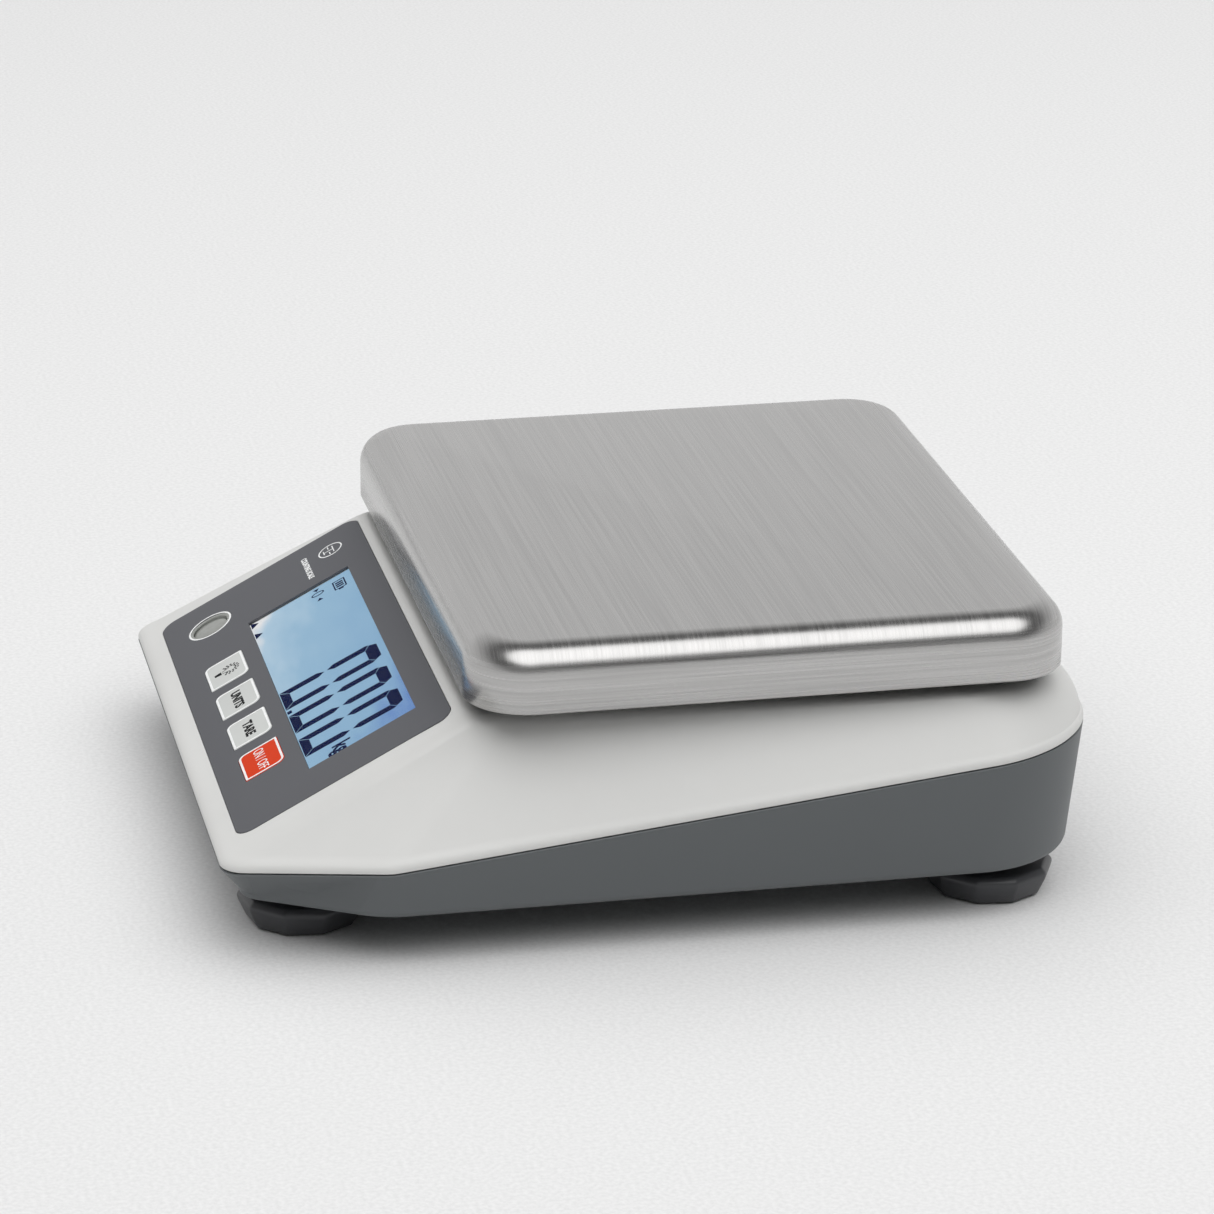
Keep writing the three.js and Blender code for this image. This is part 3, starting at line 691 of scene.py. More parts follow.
def settle(made: bpy.types.Object) -> bpy.types.Object:
    """Turns an object with modifiers into a plain mesh.

    Args:
        made: The object.

    Returns:
        The same object, without modifiers.
    """
    graph = bpy.context.evaluated_depsgraph_get()
    mesh = bpy.data.meshes.new_from_object(made.evaluated_get(graph))
    made.modifiers.clear()
    made.data = mesh
    return made


def carve(made: bpy.types.Object, shade: Shade, added: Blank | None = None, removed: Blank | None = None,
          place: Matrix | None = None, sharp: float = 30.0) -> bpy.types.Object:
    """Joins and cuts a piece with other shapes.

    Args:
        made: The piece.
        shade: The finish that the piece keeps.
        added: Shapes joined to it first.
        removed: Shapes cut from it afterwards.
        place: Where the shapes' own frame lies, in metres.
        sharp: Edges that turn by more than this many degrees stay crisp.

    Returns:
        The same piece.
    """
    for blank, operation in ((added, "UNION"), (removed, "DIFFERENCE")):
        if blank is None:
            continue
        tool = blank.piece("tool", shade, place)
        step = made.modifiers.new("shape", "BOOLEAN")
        step.operation = operation
        step.object = tool
        step.solver = "EXACT"
        step.use_self = True
        settle(made)
        bpy.data.objects.remove(tool)
    finish_mesh(made, shade, sharp)
    return made


def mount(made: bpy.types.Object, body: str, slot: str, *nodes: str) -> bpy.types.Object:
    """Fixes a finished piece to its body and reports it.

    Args:
        made: The piece.
        body: The CAD body that carries it.
        slot: The name of a material slot, which is not used.
        *nodes: The CAD nodes that it stands for.

    Returns:
        The same piece.
    """
    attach(made, body)
    if nodes:
        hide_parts(*nodes)
    LOG.info("%s rides on %s, %d faces", made.name, body, len(made.data.polygons))
    return made


# -------------------------------------------------------------------------------- repeats


def new_tree(name: str, sizes: dict[str, tuple[str, object]]) -> tuple[bpy.types.NodeTree, bpy.types.Node]:
    """Starts a geometry tree with named inputs.

    Args:
        name: The tree's name.
        sizes: Input names, each with its socket type and default value.

    Returns:
        The tree and its group input node.
    """
    tree = bpy.data.node_groups.new(name, "GeometryNodeTree")
    tree.interface.new_socket("Geometry", in_out="OUTPUT", socket_type="NodeSocketGeometry")
    for label, (kind, default) in sizes.items():
        socket = tree.interface.new_socket(label, in_out="INPUT", socket_type=kind)
        if default is not None:
            socket.default_value = default
    return tree, tree.nodes.new("NodeGroupInput")


def end_tree(tree: bpy.types.NodeTree, geometry: bpy.types.NodeSocket,
             finish: bpy.types.NodeSocket) -> None:
    """Ends a geometry tree in real geometry that wears its finish.

    Args:
        tree: The tree.
        geometry: The output socket of what it made.
        finish: The input that gives its material.
    """
    real = add_node(tree, "GeometryNodeRealizeInstances", links={0: geometry})
    dressed = add_node(tree, "GeometryNodeSetMaterial",
                       links={"Geometry": real.outputs[0], "Material": finish})
    add_node(tree, "NodeGroupOutput", links={0: dressed.outputs[0]})


def grow(name: str, tree: bpy.types.NodeTree, shade: Shade, sharp: float = 30.0,
         **inputs: object) -> bpy.types.Object:
    """Runs a geometry tree once and keeps its result as a plain mesh.

    Args:
        name: The new object's name.
        tree: The geometry tree.
        shade: The finish, which is also the tree's Finish input.
        sharp: Edges that turn by more than this many degrees stay crisp.
        **inputs: Values of the tree's other inputs, by name with spaces as underscores.

    Returns:
        The new object, at the origin.
    """
    made = bpy.data.objects.new(name, bpy.data.meshes.new(name))
    bpy.context.scene.collection.objects.link(made)
    step = made.modifiers.new("grow", "NODES")
    step.node_group = tree
    wanted = {label.replace("_", " "): value for label, value in inputs.items()}
    wanted["Finish"] = shade.material
    for socket in tree.interface.items_tree:
        if socket.in_out == "INPUT" and socket.name in wanted:
            step[socket.identifier] = wanted[socket.name]
    settle(made)
    finish_mesh(made, shade, sharp)
    return made


@cache
def copies_tree() -> bpy.types.NodeTree:
    """Builds the tree that sets copies of one shape on the points of another.

    Returns:
        The tree, which is made once.
    """
    tree, given = new_tree("copies on points", {
        "Shape": ("NodeSocketObject", None), "Places": ("NodeSocketObject", None),
        "Finish": ("NodeSocketMaterial", None),
    })
    shape = add_node(tree, "GeometryNodeObjectInfo", links={"Object": given.outputs["Shape"]})
    places = add_node(tree, "GeometryNodeObjectInfo", links={"Object": given.outputs["Places"]})
    spread = add_node(tree, "GeometryNodeInstanceOnPoints",
                      links={"Points": places.outputs["Geometry"], "Instance": shape.outputs["Geometry"]})
    end_tree(tree, spread.outputs[0], given.outputs["Finish"])
    return tree


@cache
def row_tree() -> bpy.types.NodeTree:
    """Builds the tree that repeats a bar along a straight line.

    Returns:
        The tree, which is made once.
    """
    tree, given = new_tree("row of bars", {
        "Count": ("NodeSocketInt", 8), "Start": ("NodeSocketVector", (0, 0, 0)),
        "Step": ("NodeSocketVector", (0.002, 0, 0)),
        "Bar": ("NodeSocketVector", (0.001, 0.01, 0.001)), "Finish": ("NodeSocketMaterial", None),
    })
    line = add_node(tree, "GeometryNodeMeshLine", links={
        "Count": given.outputs["Count"], "Start Location": given.outputs["Start"],
        "Offset": given.outputs["Step"],
    })
    bar = add_node(tree, "GeometryNodeMeshCube", links={"Size": given.outputs["Bar"]})
    spread = add_node(tree, "GeometryNodeInstanceOnPoints",
                      links={"Points": line.outputs[0], "Instance": bar.outputs[0]})
    end_tree(tree, spread.outputs[0], given.outputs["Finish"])
    return tree


@cache
def thread_tree() -> bpy.types.NodeTree:
    """Builds the tree that winds a screw thread's ridge round an upright axis.

    Returns:
        The tree, which is made once.
    """
    tree, given = new_tree("screw thread", {
        "Turns": ("NodeSocketFloat", 10.0), "Radius": ("NodeSocketFloat", 0.004),
        "Height": ("NodeSocketFloat", 0.02), "Ridge": ("NodeSocketFloat", 0.0006),
        "Foot": ("NodeSocketVector", (0, 0, 0)), "Finish": ("NodeSocketMaterial", None),
    })
    coil = add_node(tree, "GeometryNodeCurveSpiral", values={"Resolution": 20}, links={
        "Rotations": given.outputs["Turns"], "Start Radius": given.outputs["Radius"],
        "End Radius": given.outputs["Radius"], "Height": given.outputs["Height"],
    })
    section = add_node(tree, "GeometryNodeCurvePrimitiveCircle", values={"Resolution": 4},
                       links={"Radius": given.outputs["Ridge"]})
    ridge = add_node(tree, "GeometryNodeCurveToMesh", values={"Fill Caps": True},
                     links={"Curve": coil.outputs[0], "Profile Curve": section.outputs[0]})
    moved = add_node(tree, "GeometryNodeTransform", links={"Geometry": ridge.outputs[0],
                                                           "Translation": given.outputs["Foot"]})
    end_tree(tree, moved.outputs[0], given.outputs["Finish"])
    return tree


# -------------------------------------------------------------------------------- housing


@dataclass(frozen=True)
class PlanOutline:
    """The housing's plan at one level: a tapered nose, straight sides and round rear corners."""

    front_x: float
    front_y: float
    flare_x: float
    flare_y: float
    rear_x: float
    rear_y: float
    front_r: float
    flare_r: float
    rear_r: float

    def shrunk(self, inset: float) -> "PlanOutline":
        """Moves the outline inwards.

        Args:
            inset: How far it moves.

        Returns:
            The smaller outline.
        """
        return replace(self, front_x=self.front_x - inset, front_y=self.front_y + inset,
                       flare_x=self.flare_x - inset, flare_y=self.flare_y + inset / 3,
                       rear_x=self.rear_x - inset, rear_y=self.rear_y - inset,
                       rear_r=self.rear_r - inset)

    def towards(self, other: "PlanOutline", share: float, rear_share: float) -> "PlanOutline":
        """Mixes two outlines, with a share of its own for the rear edge.

        Args:
            other: The outline that it is mixed with.
            share: Share of the other outline.
            rear_share: Share of the other outline at the rear edge.

        Returns:
            The mixed outline.
        """
        mixed = {key: value + (getattr(other, key) - value) * share
                 for key, value in vars(self).items()}
        mixed["rear_y"] = self.rear_y + (other.rear_y - self.rear_y) * rear_share
        return PlanOutline(**mixed)

    def loop(self) -> list[Spot]:
        """Draws the outline.

        Returns:
            The points, anticlockwise.
        """
        right = [(self.front_x, self.front_y, self.front_r, 14),
                 (self.flare_x, self.flare_y, self.flare_r, 12),
                 (self.rear_x, self.rear_y, self.rear_r, 24)]
        left = [(-x, y, radius, count) for x, y, radius, count in reversed(right)]
        return rounded_loop(right + left)


@dataclass
class PanelFrame:
    """The sloping operator panel's own frame: +X across, +Y up the slope and +Z out of the panel."""

    slope: float = math.radians(28.1)
    height: float = 76.1
    sheet: float = 0.8
    proud: float = 0.2

    @property
    def matrix(self) -> Matrix:
        """Finds where the panel's frame lies from the keypad film's lower front edge.

        Returns:
            The frame's place, in metres.
        """
        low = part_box("keypad_overlay")[0]
        foot_y = low.y + self.proud * MM * math.sin(self.slope)
        foot_z = low.z + (self.sheet - self.proud) * MM * math.cos(self.slope)
        return Matrix.Translation((0, foot_y, foot_z)) @ Matrix.Rotation(self.slope, 4, "X")


@dataclass
class Housing:
    """The two moulded shells, with the screws that hold them together."""

    panel: PanelFrame
    bottom: PlanOutline = PlanOutline(97.5, -131.5, 121, -91, 121.6, 134.2, 8, 26, 36)
    seam: PlanOutline = PlanOutline(107.1, -138.2, 122.7, -88, 123.3, 138.2, 9, 26, 37)
    deck: PlanOutline = PlanOutline(99.4, -61.8, 98.6, -46, 111, 124.5, 9, 34, 30)
    base_bottom: float = 15.8
    floor_top: float = 18.6
    deck_top: float = 72.4
    deck_under: float = 69.8
    seam_nose: float = 29.5
    seam_gap: float = 0.22
    wall: float = 2.6
    band_rise: float = 2.6
    lip: float = 1.35
    pocket: Spot = (187.2, 76.5)
    pocket_radius: float = 5.6
    pocket_depth: float = 0.88
    level_bore: float = 7.2
    stem_bore: float = 3.6
    collar_radius: float = 13.0
    collar_top: float = 75.5
    post_hole: float = 10.5
    foot_round: float = 3.2
    insert_bore: float = 6.2
    shank_bore: float = 2.1
    head_bore: float = 4.3
    bolt_bore: float = 3.3
    bolt_head_bore: float = 5.6
    inlet_bore: float = 4.8
    hatch_gap: float = 0.3
    screw_spots: dict[str, Spot] = field(init=False)
    post_spots: list[Spot] = field(init=False)
    foot_spots: list[Spot] = field(init=False)

    def __post_init__(self) -> None:
        """Reads the places of the posts, screws and feet from the frame."""
        self.post_spots = [centre_of(f"bumper_{place}") for place in CORNERS]
        self.screw_spots = {place: centre_of(f"case_screw_{place}") for place in CORNERS}
        self.foot_spots = [centre_of(f"foot_insert_{place}") for place in CORNERS]

    def seam_height(self, y: float) -> float:
        """Finds the seam's height.

        Args:
            y: The place along the scale.

        Returns:
            The height there: low under the nose, rising to the back.
        """
        nose_end = self.seam.flare_y
        return (self.seam_nose + 0.038 * (min(y, nose_end) - self.seam.front_y)
                + 0.113 * max(y - nose_end, 0))

    def seam_ring(self, inset: float, rise: float) -> Ring:
        """Returns a ring that follows the seam."""
        return [(x, y, self.seam_height(y) + rise) for x, y in self.seam.shrunk(inset).loop()]

    def wall_ring(self, share: float) -> Ring:
        """Draws one ring of the cover's outer wall.

        Args:
            share: Share of the way from the band to the deck.

        Returns:
            The ring at that share.
        """
        band = self.seam.shrunk(1.0)
        rear_share = 1 - math.sqrt(1 - share * share)
        mixed = band.towards(self.deck, share, rear_share)
        foot = self.seam_ring(1.0, self.band_rise)
        return [(x, y, low[2] + (self.deck_top - low[2]) * share)
                for (x, y), low in zip(mixed.loop(), foot)]

    def deck_rings(self) -> list[Ring]:
        """Rounds the cover's wall into its deck, tightly over the panel.

        Returns:
            The rings, from the wall inwards.
        """
        start_ring, crest = self.wall_ring(0.8), self.wall_ring(1.0)
        start, end = [], []
        for index, (low, high) in enumerate(zip(start_ring, crest)):
            before, after = Vector(crest[index - 1]), Vector(crest[(index + 1) % len(crest)])
            along = (after - before).normalized()
            inward = Vector((-along.y, along.x, 0))
            frontness = max(0.0, inward.y) ** 2
            share = 0.5 + 0.38 * frontness
            start.append(tuple(Vector(low).lerp(Vector(high), share)))
            end.append(tuple(Vector(high) + inward * (5.0 - 3.5 * frontness)))
        return bezier_rings(start, crest, end, 8)

    def cover(self) -> bpy.types.Object:
        """Builds the light grey top cover with its panel pocket, window and post holes.

        Returns:
            The cover.
        """
        band = bezier_rings(self.seam_ring(0, 1.1), self.seam_ring(0.25, 2.7), self.wall_ring(0.045), 7)
        rings = [
            at_height(self.deck.shrunk(1.6).loop(), self.deck_under),
            self.seam_ring(self.wall + 2, 3.6),
            self.seam_ring(self.lip, 2.3),
            self.seam_ring(self.lip, self.seam_gap),
            self.seam_ring(0.25, self.seam_gap),
            self.seam_ring(0, self.seam_gap + 0.25),
            *band,
            *[self.wall_ring(share) for share in (0.07, 0.2, 0.35, 0.5, 0.65, 0.78)],
            *self.deck_rings(),
        ]
        made = Blank().skin(rings).piece("top_cover_shell", Shade.COVER)
        collars, wells = Blank(), Blank()
        for spot in self.post_spots:
            collars.turned([(self.collar_radius + 1.2, self.deck_top - 1),
                            (self.collar_radius, self.deck_top + 0.8),
                            (self.collar_radius - 0.2, self.collar_top - 0.8),
                            (self.collar_radius - 1.0, self.collar_top)], spot)
            wells.turned([(self.post_hole, self.deck_under - 4),
                          (self.post_hole, self.collar_top + 2)], spot)
        wells.turned([(self.level_bore, height) for height in LEVEL_CUT], centre_of("level_cup"))
        carve(made, Shade.COVER, collars, wells)
        pocket = rectangle_loop(*self.pocket, self.pocket_radius, (0, self.panel.height / 2))
        pocket_cut = Blank().slab(pocket, -self.pocket_depth, 4)
        carve(made, Shade.COVER, removed=pocket_cut, place=self.panel.matrix)
        return carve(made, Shade.COVER, removed=self.panel_openings(), place=self.panel.matrix)

    def panel_openings(self) -> Blank:
        """Shapes the openings for the display and the key stems.

        Returns:
            What is cut away, in the panel's frame.
        """
        cuts, gap = Blank(), 0.2
        low, high = local_box("display_window", self.panel)
        cuts.box((low[0] - gap, low[1] - gap, -8), (high[0] + gap, high[1] + gap, 1))
        for key in Keypad.KEYS:
            low, high = local_box(f"key_{key}", self.panel)
            middle = ((low[0] + high[0]) / 2, (low[1] + high[1]) / 2)
            cuts.slab(circle_loop(self.stem_bore, middle, 32), -6, 1)
        return cuts

    def base(self) -> bpy.types.Object:
        """Builds the dark bottom case with its bosses, hatch and fastener recesses.

        Returns:
            The bottom case.
        """
        bottom = self.bottom
        foot = bezier_rings(at_height(bottom.shrunk(self.foot_round).loop(), self.base_bottom),
                            at_height(bottom.shrunk(0.25).loop(), self.base_bottom),
                            at_height(bottom.loop(), self.base_bottom + self.foot_round), 6)
        rings = [
            *foot,
            self.seam_ring(0, -self.seam_gap - 0.25),
            self.seam_ring(0.25, -self.seam_gap),
            self.seam_ring(self.lip + 0.15, -self.seam_gap),
            self.seam_ring(self.lip + 0.15, 2.0),
            self.seam_ring(self.wall, 2.0),
            self.seam_ring(self.wall, -2.0),
            at_height(bottom.shrunk(self.wall + 0.8).loop(), self.floor_top),
        ]
        made = Blank().skin(rings).piece("bottom_case_shell", Shade.BASE)
        return carve(made, Shade.BASE, self.base_bosses(), self.base_cuts())

    def base_bosses(self) -> Blank:
        """Shapes the bosses that stand on the floor of the bottom case.

        Returns:
            What is added to the case.
        """
        bosses, into = Blank(), self.floor_top - 1
        for spot in self.foot_spots:
            bosses.turned([(10.2, into), (9.5, self.floor_top + 1), (9.2, 26)], spot)
        for spot in self.screw_spots.values():
            bosses.turned([(6.2, into), (5.5, self.floor_top + 1), (5.3, 39.7)], spot, 32)
        low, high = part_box("spacer_lower")
        bosses.box((-19, low.y / MM - 4, into), (19, high.y / MM + 2, 24))
        return bosses

    def base_cuts(self) -> Blank:
        """Shapes the holes for the inserts, screws, load cell bolts, hatch and inlet.

        Returns:
            What is cut away.
        """
        cuts, under = Blank(), self.base_bottom - 1
        for spot in self.foot_spots:
            cuts.turned([(self.insert_bore, under), (self.insert_bore, 27)], spot, 32)
        for spot in self.screw_spots.values():
            cuts.turned([(self.head_bore, under), (self.head_bore, 26), (self.shank_bore, 26.01),
                         (self.shank_bore, 41)], spot, 32)
        for number in (1, 2):
            cuts.turned([(self.bolt_head_bore, under), (self.bolt_head_bore, 21),
                         (self.bolt_bore, 21.01), (self.bolt_bore, 25)],
                        centre_of(f"bolt_lower_{number}"), 32)
        low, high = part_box("battery_door")
        width = (high.x - low.x) / MM + 2 * self.hatch_gap
        length = (high.y - low.y) / MM + 2 * self.hatch_gap
        hatch = rectangle_loop(width, length, 4, centre_of("battery_door"))
        cuts.slab(hatch, under, self.floor_top + 1)
        low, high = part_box("power_inlet")
        x, z = (low.x + high.x) / 2 / MM, (low.z + high.z) / 2 / MM
        hole = Blank().turned([(self.inlet_bore, 126), (self.inlet_bore, 145)], (0, 0), 32)
        return cuts.merge(hole, lambda point: (x - point[0], point[2], z + point[1]))

    def screws(self) -> bpy.types.Object:
        """Builds one pan-head screw with a cross recess and copies it to the four bosses.

        Returns:
            The four screws as one piece.
        """
        low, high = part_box("case_screw_front_left")
        foot, tip = low.z / MM, high.z / MM
        profile = [(3.0, foot), (3.7, foot + 0.7), (3.8, foot + 3), (1.8, foot + 3.01), (1.8, tip - 2),
                   (0.4, tip)]
        screw = Blank().turned(profile, (0, 0), 32).piece("screw_shape", Shade.ZINC)
        for along, across in ((2.2, 0.45), (0.45, 2.2)):
            slot = Blank().box((-along, -across, foot - 1), (along, across, foot + 1.6))
            carve(screw, Shade.ZINC, removed=slot)
        spots = bpy.data.meshes.new("screw_spots")
        spots.from_pydata([(x * MM, y * MM, 0) for x, y in self.screw_spots.values()], [], [])
        places = bpy.data.objects.new("screw_spots", spots)
        bpy.context.scene.collection.objects.link(places)
        made = grow("case_screws", copies_tree(), Shade.ZINC, Shape=screw, Places=places)
        bpy.data.objects.remove(screw)
        bpy.data.objects.remove(places)
        return made

    def build(self) -> None:
        """Builds the shells and screws and fixes them to the housing."""
        mount(self.cover(), "housing", "cover_abs", "top_cover")
        mount(self.base(), "housing", "base_abs", "bottom_case")
        mount(self.screws(), "housing", "zinc_steel", *[f"case_screw_{place}" for place in CORNERS])


def centre_of(node: str) -> Spot:
    """Returns the middle of a CAD node in plan, in millimetres."""
    low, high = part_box(node)
    return ((low.x + high.x) / 2 / MM, (low.y + high.y) / 2 / MM)


def local_box(node: str, panel: PanelFrame) -> tuple[Point, Point]:
    """Measures a CAD node in the panel's frame.

    Args:
        node: The node's name.
        panel: The panel.

    Returns:
        Its low and high corners, in millimetres.
    """
    back = panel.matrix.inverted()
    points = [back @ vertex.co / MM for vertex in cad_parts[node].data.vertices]
    return (tuple(min(point[axis] for point in points) for axis in range(3)),
            tuple(max(point[axis] for point in points) for axis in range(3)))


# -------------------------------------------------------------------------------- keypad


def letters(name: str, text: str, size: Spot, centre: Spot, base: float, shade: Shade,
            panel: PanelFrame, weight: float = 0.04, thick: float = 0.05) -> bpy.types.Object:
    """Prints a legend on the panel as thin raised letters.

    Args:
        name: The piece's name.
        text: The legend.
        size: Width and height of the whole legend.
        centre: Middle of the legend in the panel's frame.
        base: Height of the surface that it is printed on, in the panel's frame.
        shade: Its ink.
        panel: The panel.
        weight: Boldness, as a share of the height that is added all round each stroke.
        thick: Thickness of the print.

    Returns:
        The piece, at the origin.
    """
    curve = bpy.data.curves.new(name, "FONT")
    curve.body = text
    curve.size = 1.0
    curve.resolution_u = 4
    curve.offset = weight
    curve.extrude = 0.5
    source = bpy.data.objects.new(name + "_source", curve)
    bpy.context.scene.collection.objects.link(source)
    bpy.context.view_layer.update()
    graph = bpy.context.evaluated_depsgraph_get()
    mesh = bpy.data.meshes.new_from_object(source.evaluated_get(graph))
    bpy.data.objects.remove(source)
    spans = [[vertex.co[axis] for vertex in mesh.vertices] for axis in range(3)]
    middle = [(min(span) + max(span)) / 2 for span in spans]
    wanted = (size[0], size[1], thick)
    shares = [want * MM / (max(span) - min(span)) for want, span in zip(wanted, spans)]
    place = Matrix.Translation((centre[0] * MM, centre[1] * MM, (base + thick / 2) * MM))
    centred = Matrix.Translation([-value for value in middle])
    mesh.transform(panel.matrix @ place @ Matrix.Diagonal((*shares, 1)) @ centred)
    made = bpy.data.objects.new(name, mesh)
    bpy.context.scene.collection.objects.link(made)
    finish_mesh(made, shade, 30.0)
    return made


@dataclass
class Keypad:
    """The printed film with its four keys and the spirit level's ring."""

    KEYS: ClassVar[tuple[str, ...]] = ("light", "units", "tare", "on_off")

    panel: PanelFrame
    width: float = 186.8
    radius: float = 5.5
    film_edge: float = 0.15
    key_round: float = 3.0
    key_sharp: float = 0.5
    border: float = 0.75
    print_thick: float = 0.05
    cap_low: float = -0.4
    cap_edge: float = 0.25
    stem: float = 2.5
    legends: dict[str, tuple[str, float]] = field(default_factory=lambda: {
        "units": ("UNITS", 12.9), "tare": ("TARE", 11.3), "on_off": ("ON / OFF", 15.2),
    })
    legend_height: float = 3.6
    level_bore: float = 7.15
    sign_spot: Spot = (-78.0, 63.5)
    words_spot: Spot = (-73.5, 54.0)
    words_size: Spot = (19.0, 2.2)

    def film(self) -> bpy.types.Object:
        """Builds the dark grey film with its window, key and level openings.

        Returns:
            The film.
        """
        middle = (0.0, self.panel.height / 2)

        def loop_at(inset: float) -> list[Spot]:
            """Returns the film's outline moved inwards."""
            width, height = self.width - 2 * inset, self.panel.height - 2 * inset
            return rectangle_loop(width, height, self.radius, middle, 12)

        under = self.panel.proud - self.panel.sheet
        blank = Blank().bevelled_slab(loop_at, under, self.panel.proud, self.film_edge)
        made = blank.piece("keypad_film", Shade.FILM, self.panel.matrix)
        cuts, gap = Blank(), 0.05
        low, high = local_box("display_window", self.panel)
        cuts.box((low[0] - gap, low[1] - gap, -2), (high[0] + gap, high[1] + gap, 2))
        for key in self.KEYS:
            cuts.slab(self.key_loop(key, -0.12), -2, 2)
        carve(made, Shade.FILM, removed=cuts, place=self.panel.matrix)
        level = Blank().turned([(self.level_bore, height) for height in LEVEL_CUT], centre_of("level_cup"))
        return carve(made, Shade.FILM, removed=level)

    def key_loop(self, key: str, inset: float) -> list[Spot]:
        """Draws a key's outline.

        Args:
            key: The key's name.
            inset: How far the outline moves inwards.

        Returns:
            The loop's points, with two opposite corners round.
        """
        low, high = local_box(f"key_{key}", self.panel)
        left, right = low[0] + inset, high[0] - inset
        bottom, top = low[1] + inset, high[1] - inset
        soft, crisp = max(self.key_round - inset, 0.3), max(self.key_sharp - inset / 2, 0.2)
        return rounded_loop([(right, bottom, crisp, 4), (right, top, soft, 8), (left, top, crisp, 4),
                             (left, bottom, soft, 8)], 0.1)

    def build_key(self, key: str) -> None:
        """Builds one key's cap, its white border and its legend.

        Args:
            key: The key's name.
        """
        low, high = local_box(f"key_{key}", self.panel)
        middle = ((low[0] + high[0]) / 2, (low[1] + high[1]) / 2)
        top = high[2]
        red = key == "on_off"
        slot = "red_key" if red else "grey_key"
        cap = Blank().bevelled_slab(lambda inset: self.key_loop(key, inset), self.cap_low, top,
                                    self.cap_edge)
        cap.turned([(self.stem, low[2]), (self.stem, self.cap_low)], middle, 24)
        made = cap.piece(f"{key}_key_cap", Shade.RED_KEY if red else Shade.KEY, self.panel.matrix)
        mount(made, f"{key}_key", slot, f"key_{key}")
        outer, inner = self.key_loop(key, 0.2), self.key_loop(key, 0.2 + self.border)
        border = self.printed_ring(f"{key}_key_border", inner, outer, top)
        mount(border, f"{key}_key", slot)
        if key in self.legends:
            text, width = self.legends[key]
            legend = letters(f"{key}_key_legend", text, (width, self.legend_height), middle, top,
                             Shade.WHITE_INK if red else Shade.BLACK_INK, self.panel, 0.0 if red else 0.04)
        else:
            legend = self.lamp_sign(key, middle, top)
        mount(legend, f"{key}_key", slot)

    def printed_ring(self, name: str, inner: list[Spot], outer: list[Spot],
                     base: float) -> bpy.types.Object:
        """Builds a thin white printed line between two outlines.

        Args:
            name: The piece's name.
            inner: The line's inner outline.
            outer: Its outer outline, with as many points.
            base: Height of the surface that it is printed on.

        Returns:
            The line.
        """
        high = base + self.print_thick
        ring = Blank().skin([at_height(inner, base), at_height(outer, base), at_height(outer, high),
                             at_height(inner, high)], capped=False)
        return ring.piece(name, Shade.WHITE_INK, self.panel.matrix)

    def lamp_sign(self, key: str, middle: Spot, top: float) -> bpy.types.Object:
        """Builds the lamp sign: a torch with a dotted beam that widens away from it.

        Args:
            key: The key that wears it.
            middle: The key's middle.
            top: Height of the key's face.

        Returns:
            The sign.
        """
        x, y = middle
        sign = Blank()
        high = top + self.print_thick
        handle = [(x - 0.7, y - 4.4), (x + 0.7, y - 4.4), (x + 1.1, y - 1.9), (x - 1.1, y - 1.9)]
        sign.slab(handle, top, high)
        for side in (-1, 1):
            line = [(x + side * 0.45, y - 1.6), (x + side * 0.7, y - 1.6), (x + side * 1.5, y + 1.2),
                    (x + side * 1.25, y + 1.2)]
            sign.slab(line if side == 1 else line[::-1], top, high)
        for reach, count, size in ((3.0, 9, 0.42), (4.3, 11, 0.38)):
            for step in range(count):
                angle = math.radians(-35 + 250 * step / (count - 1))
                spot = (x + 0.75 * reach * math.cos(angle), y + 1.2 + 0.75 * reach * math.sin(angle))
                sign.slab(circle_loop(size, spot, 10), top, high)
        return sign.piece(f"{key}_key_legend", Shade.BLACK_INK, self.panel.matrix)

    def level_ring(self) -> bpy.types.Object:
        """Builds the white ring that is printed round the spirit level.

        Returns:
            The ring.
        """
        centre = self.level_centre()
        outer, inner = circle_loop(8.05, centre, 64), circle_loop(7.4, centre, 64)
        return self.printed_ring("level_ring_print", inner, outer, self.panel.proud)

    def level_centre(self) -> Spot:
        """Finds where the level's upright axis meets the panel.

        Returns:
            The place, in the panel's frame.
        """
        x, y = centre_of("level_cup")
        foot = self.panel.matrix @ Vector((0, 0, 0)) / MM
        return (x, (y - foot.y) / math.cos(self.panel.slope))

    def maker_sign(self) -> bpy.types.Object:
        """Builds a plain balance sign in the panel's corner, with a beam, two trays and a stand.

        Returns:
            The sign.
        """
        (x, y), low = self.sign_spot, self.panel.proud
        high = low + self.print_thick
        sign = Blank()
        sign.skin([at_height(circle_loop(radius, (x, y), 40), height) for radius, height in
                   ((4.0, low), (4.5, low), (4.5, high), (4.0, high))], capped=False)
        sign.box((x - 2.6, y + 0.9, low), (x + 2.6, y + 1.3, high))
        sign.box((x - 0.2, y - 2.2, low), (x + 0.2, y + 0.9, high))
        sign.box((x - 1.4, y - 2.6, low), (x + 1.4, y - 2.2, high))
        for side in (-1, 1):
            tray = x + side * 2.3
            sign.box((tray - 1.0, y - 0.7, low), (tray + 1.0, y - 0.3, high))
        return sign.piece("balance_sign", Shade.WHITE_INK, self.panel.matrix)

    def build(self) -> None:
        """Builds the film, keys and prints and fixes them to their bodies."""
        mount(self.film(), "housing", "overlay_film", "keypad_overlay")
        for key in self.KEYS:
            self.build_key(key)
        mount(self.level_ring(), "housing", "overlay_film")
        mount(self.maker_sign(), "housing", "overlay_film")
        words = letters("function_words", "COUNTING SCALE", self.words_size, self.words_spot,
                        self.panel.proud, Shade.WHITE_INK, self.panel)
        mount(words, "housing", "overlay_film")


# -------------------------------------------------------------------------------- display


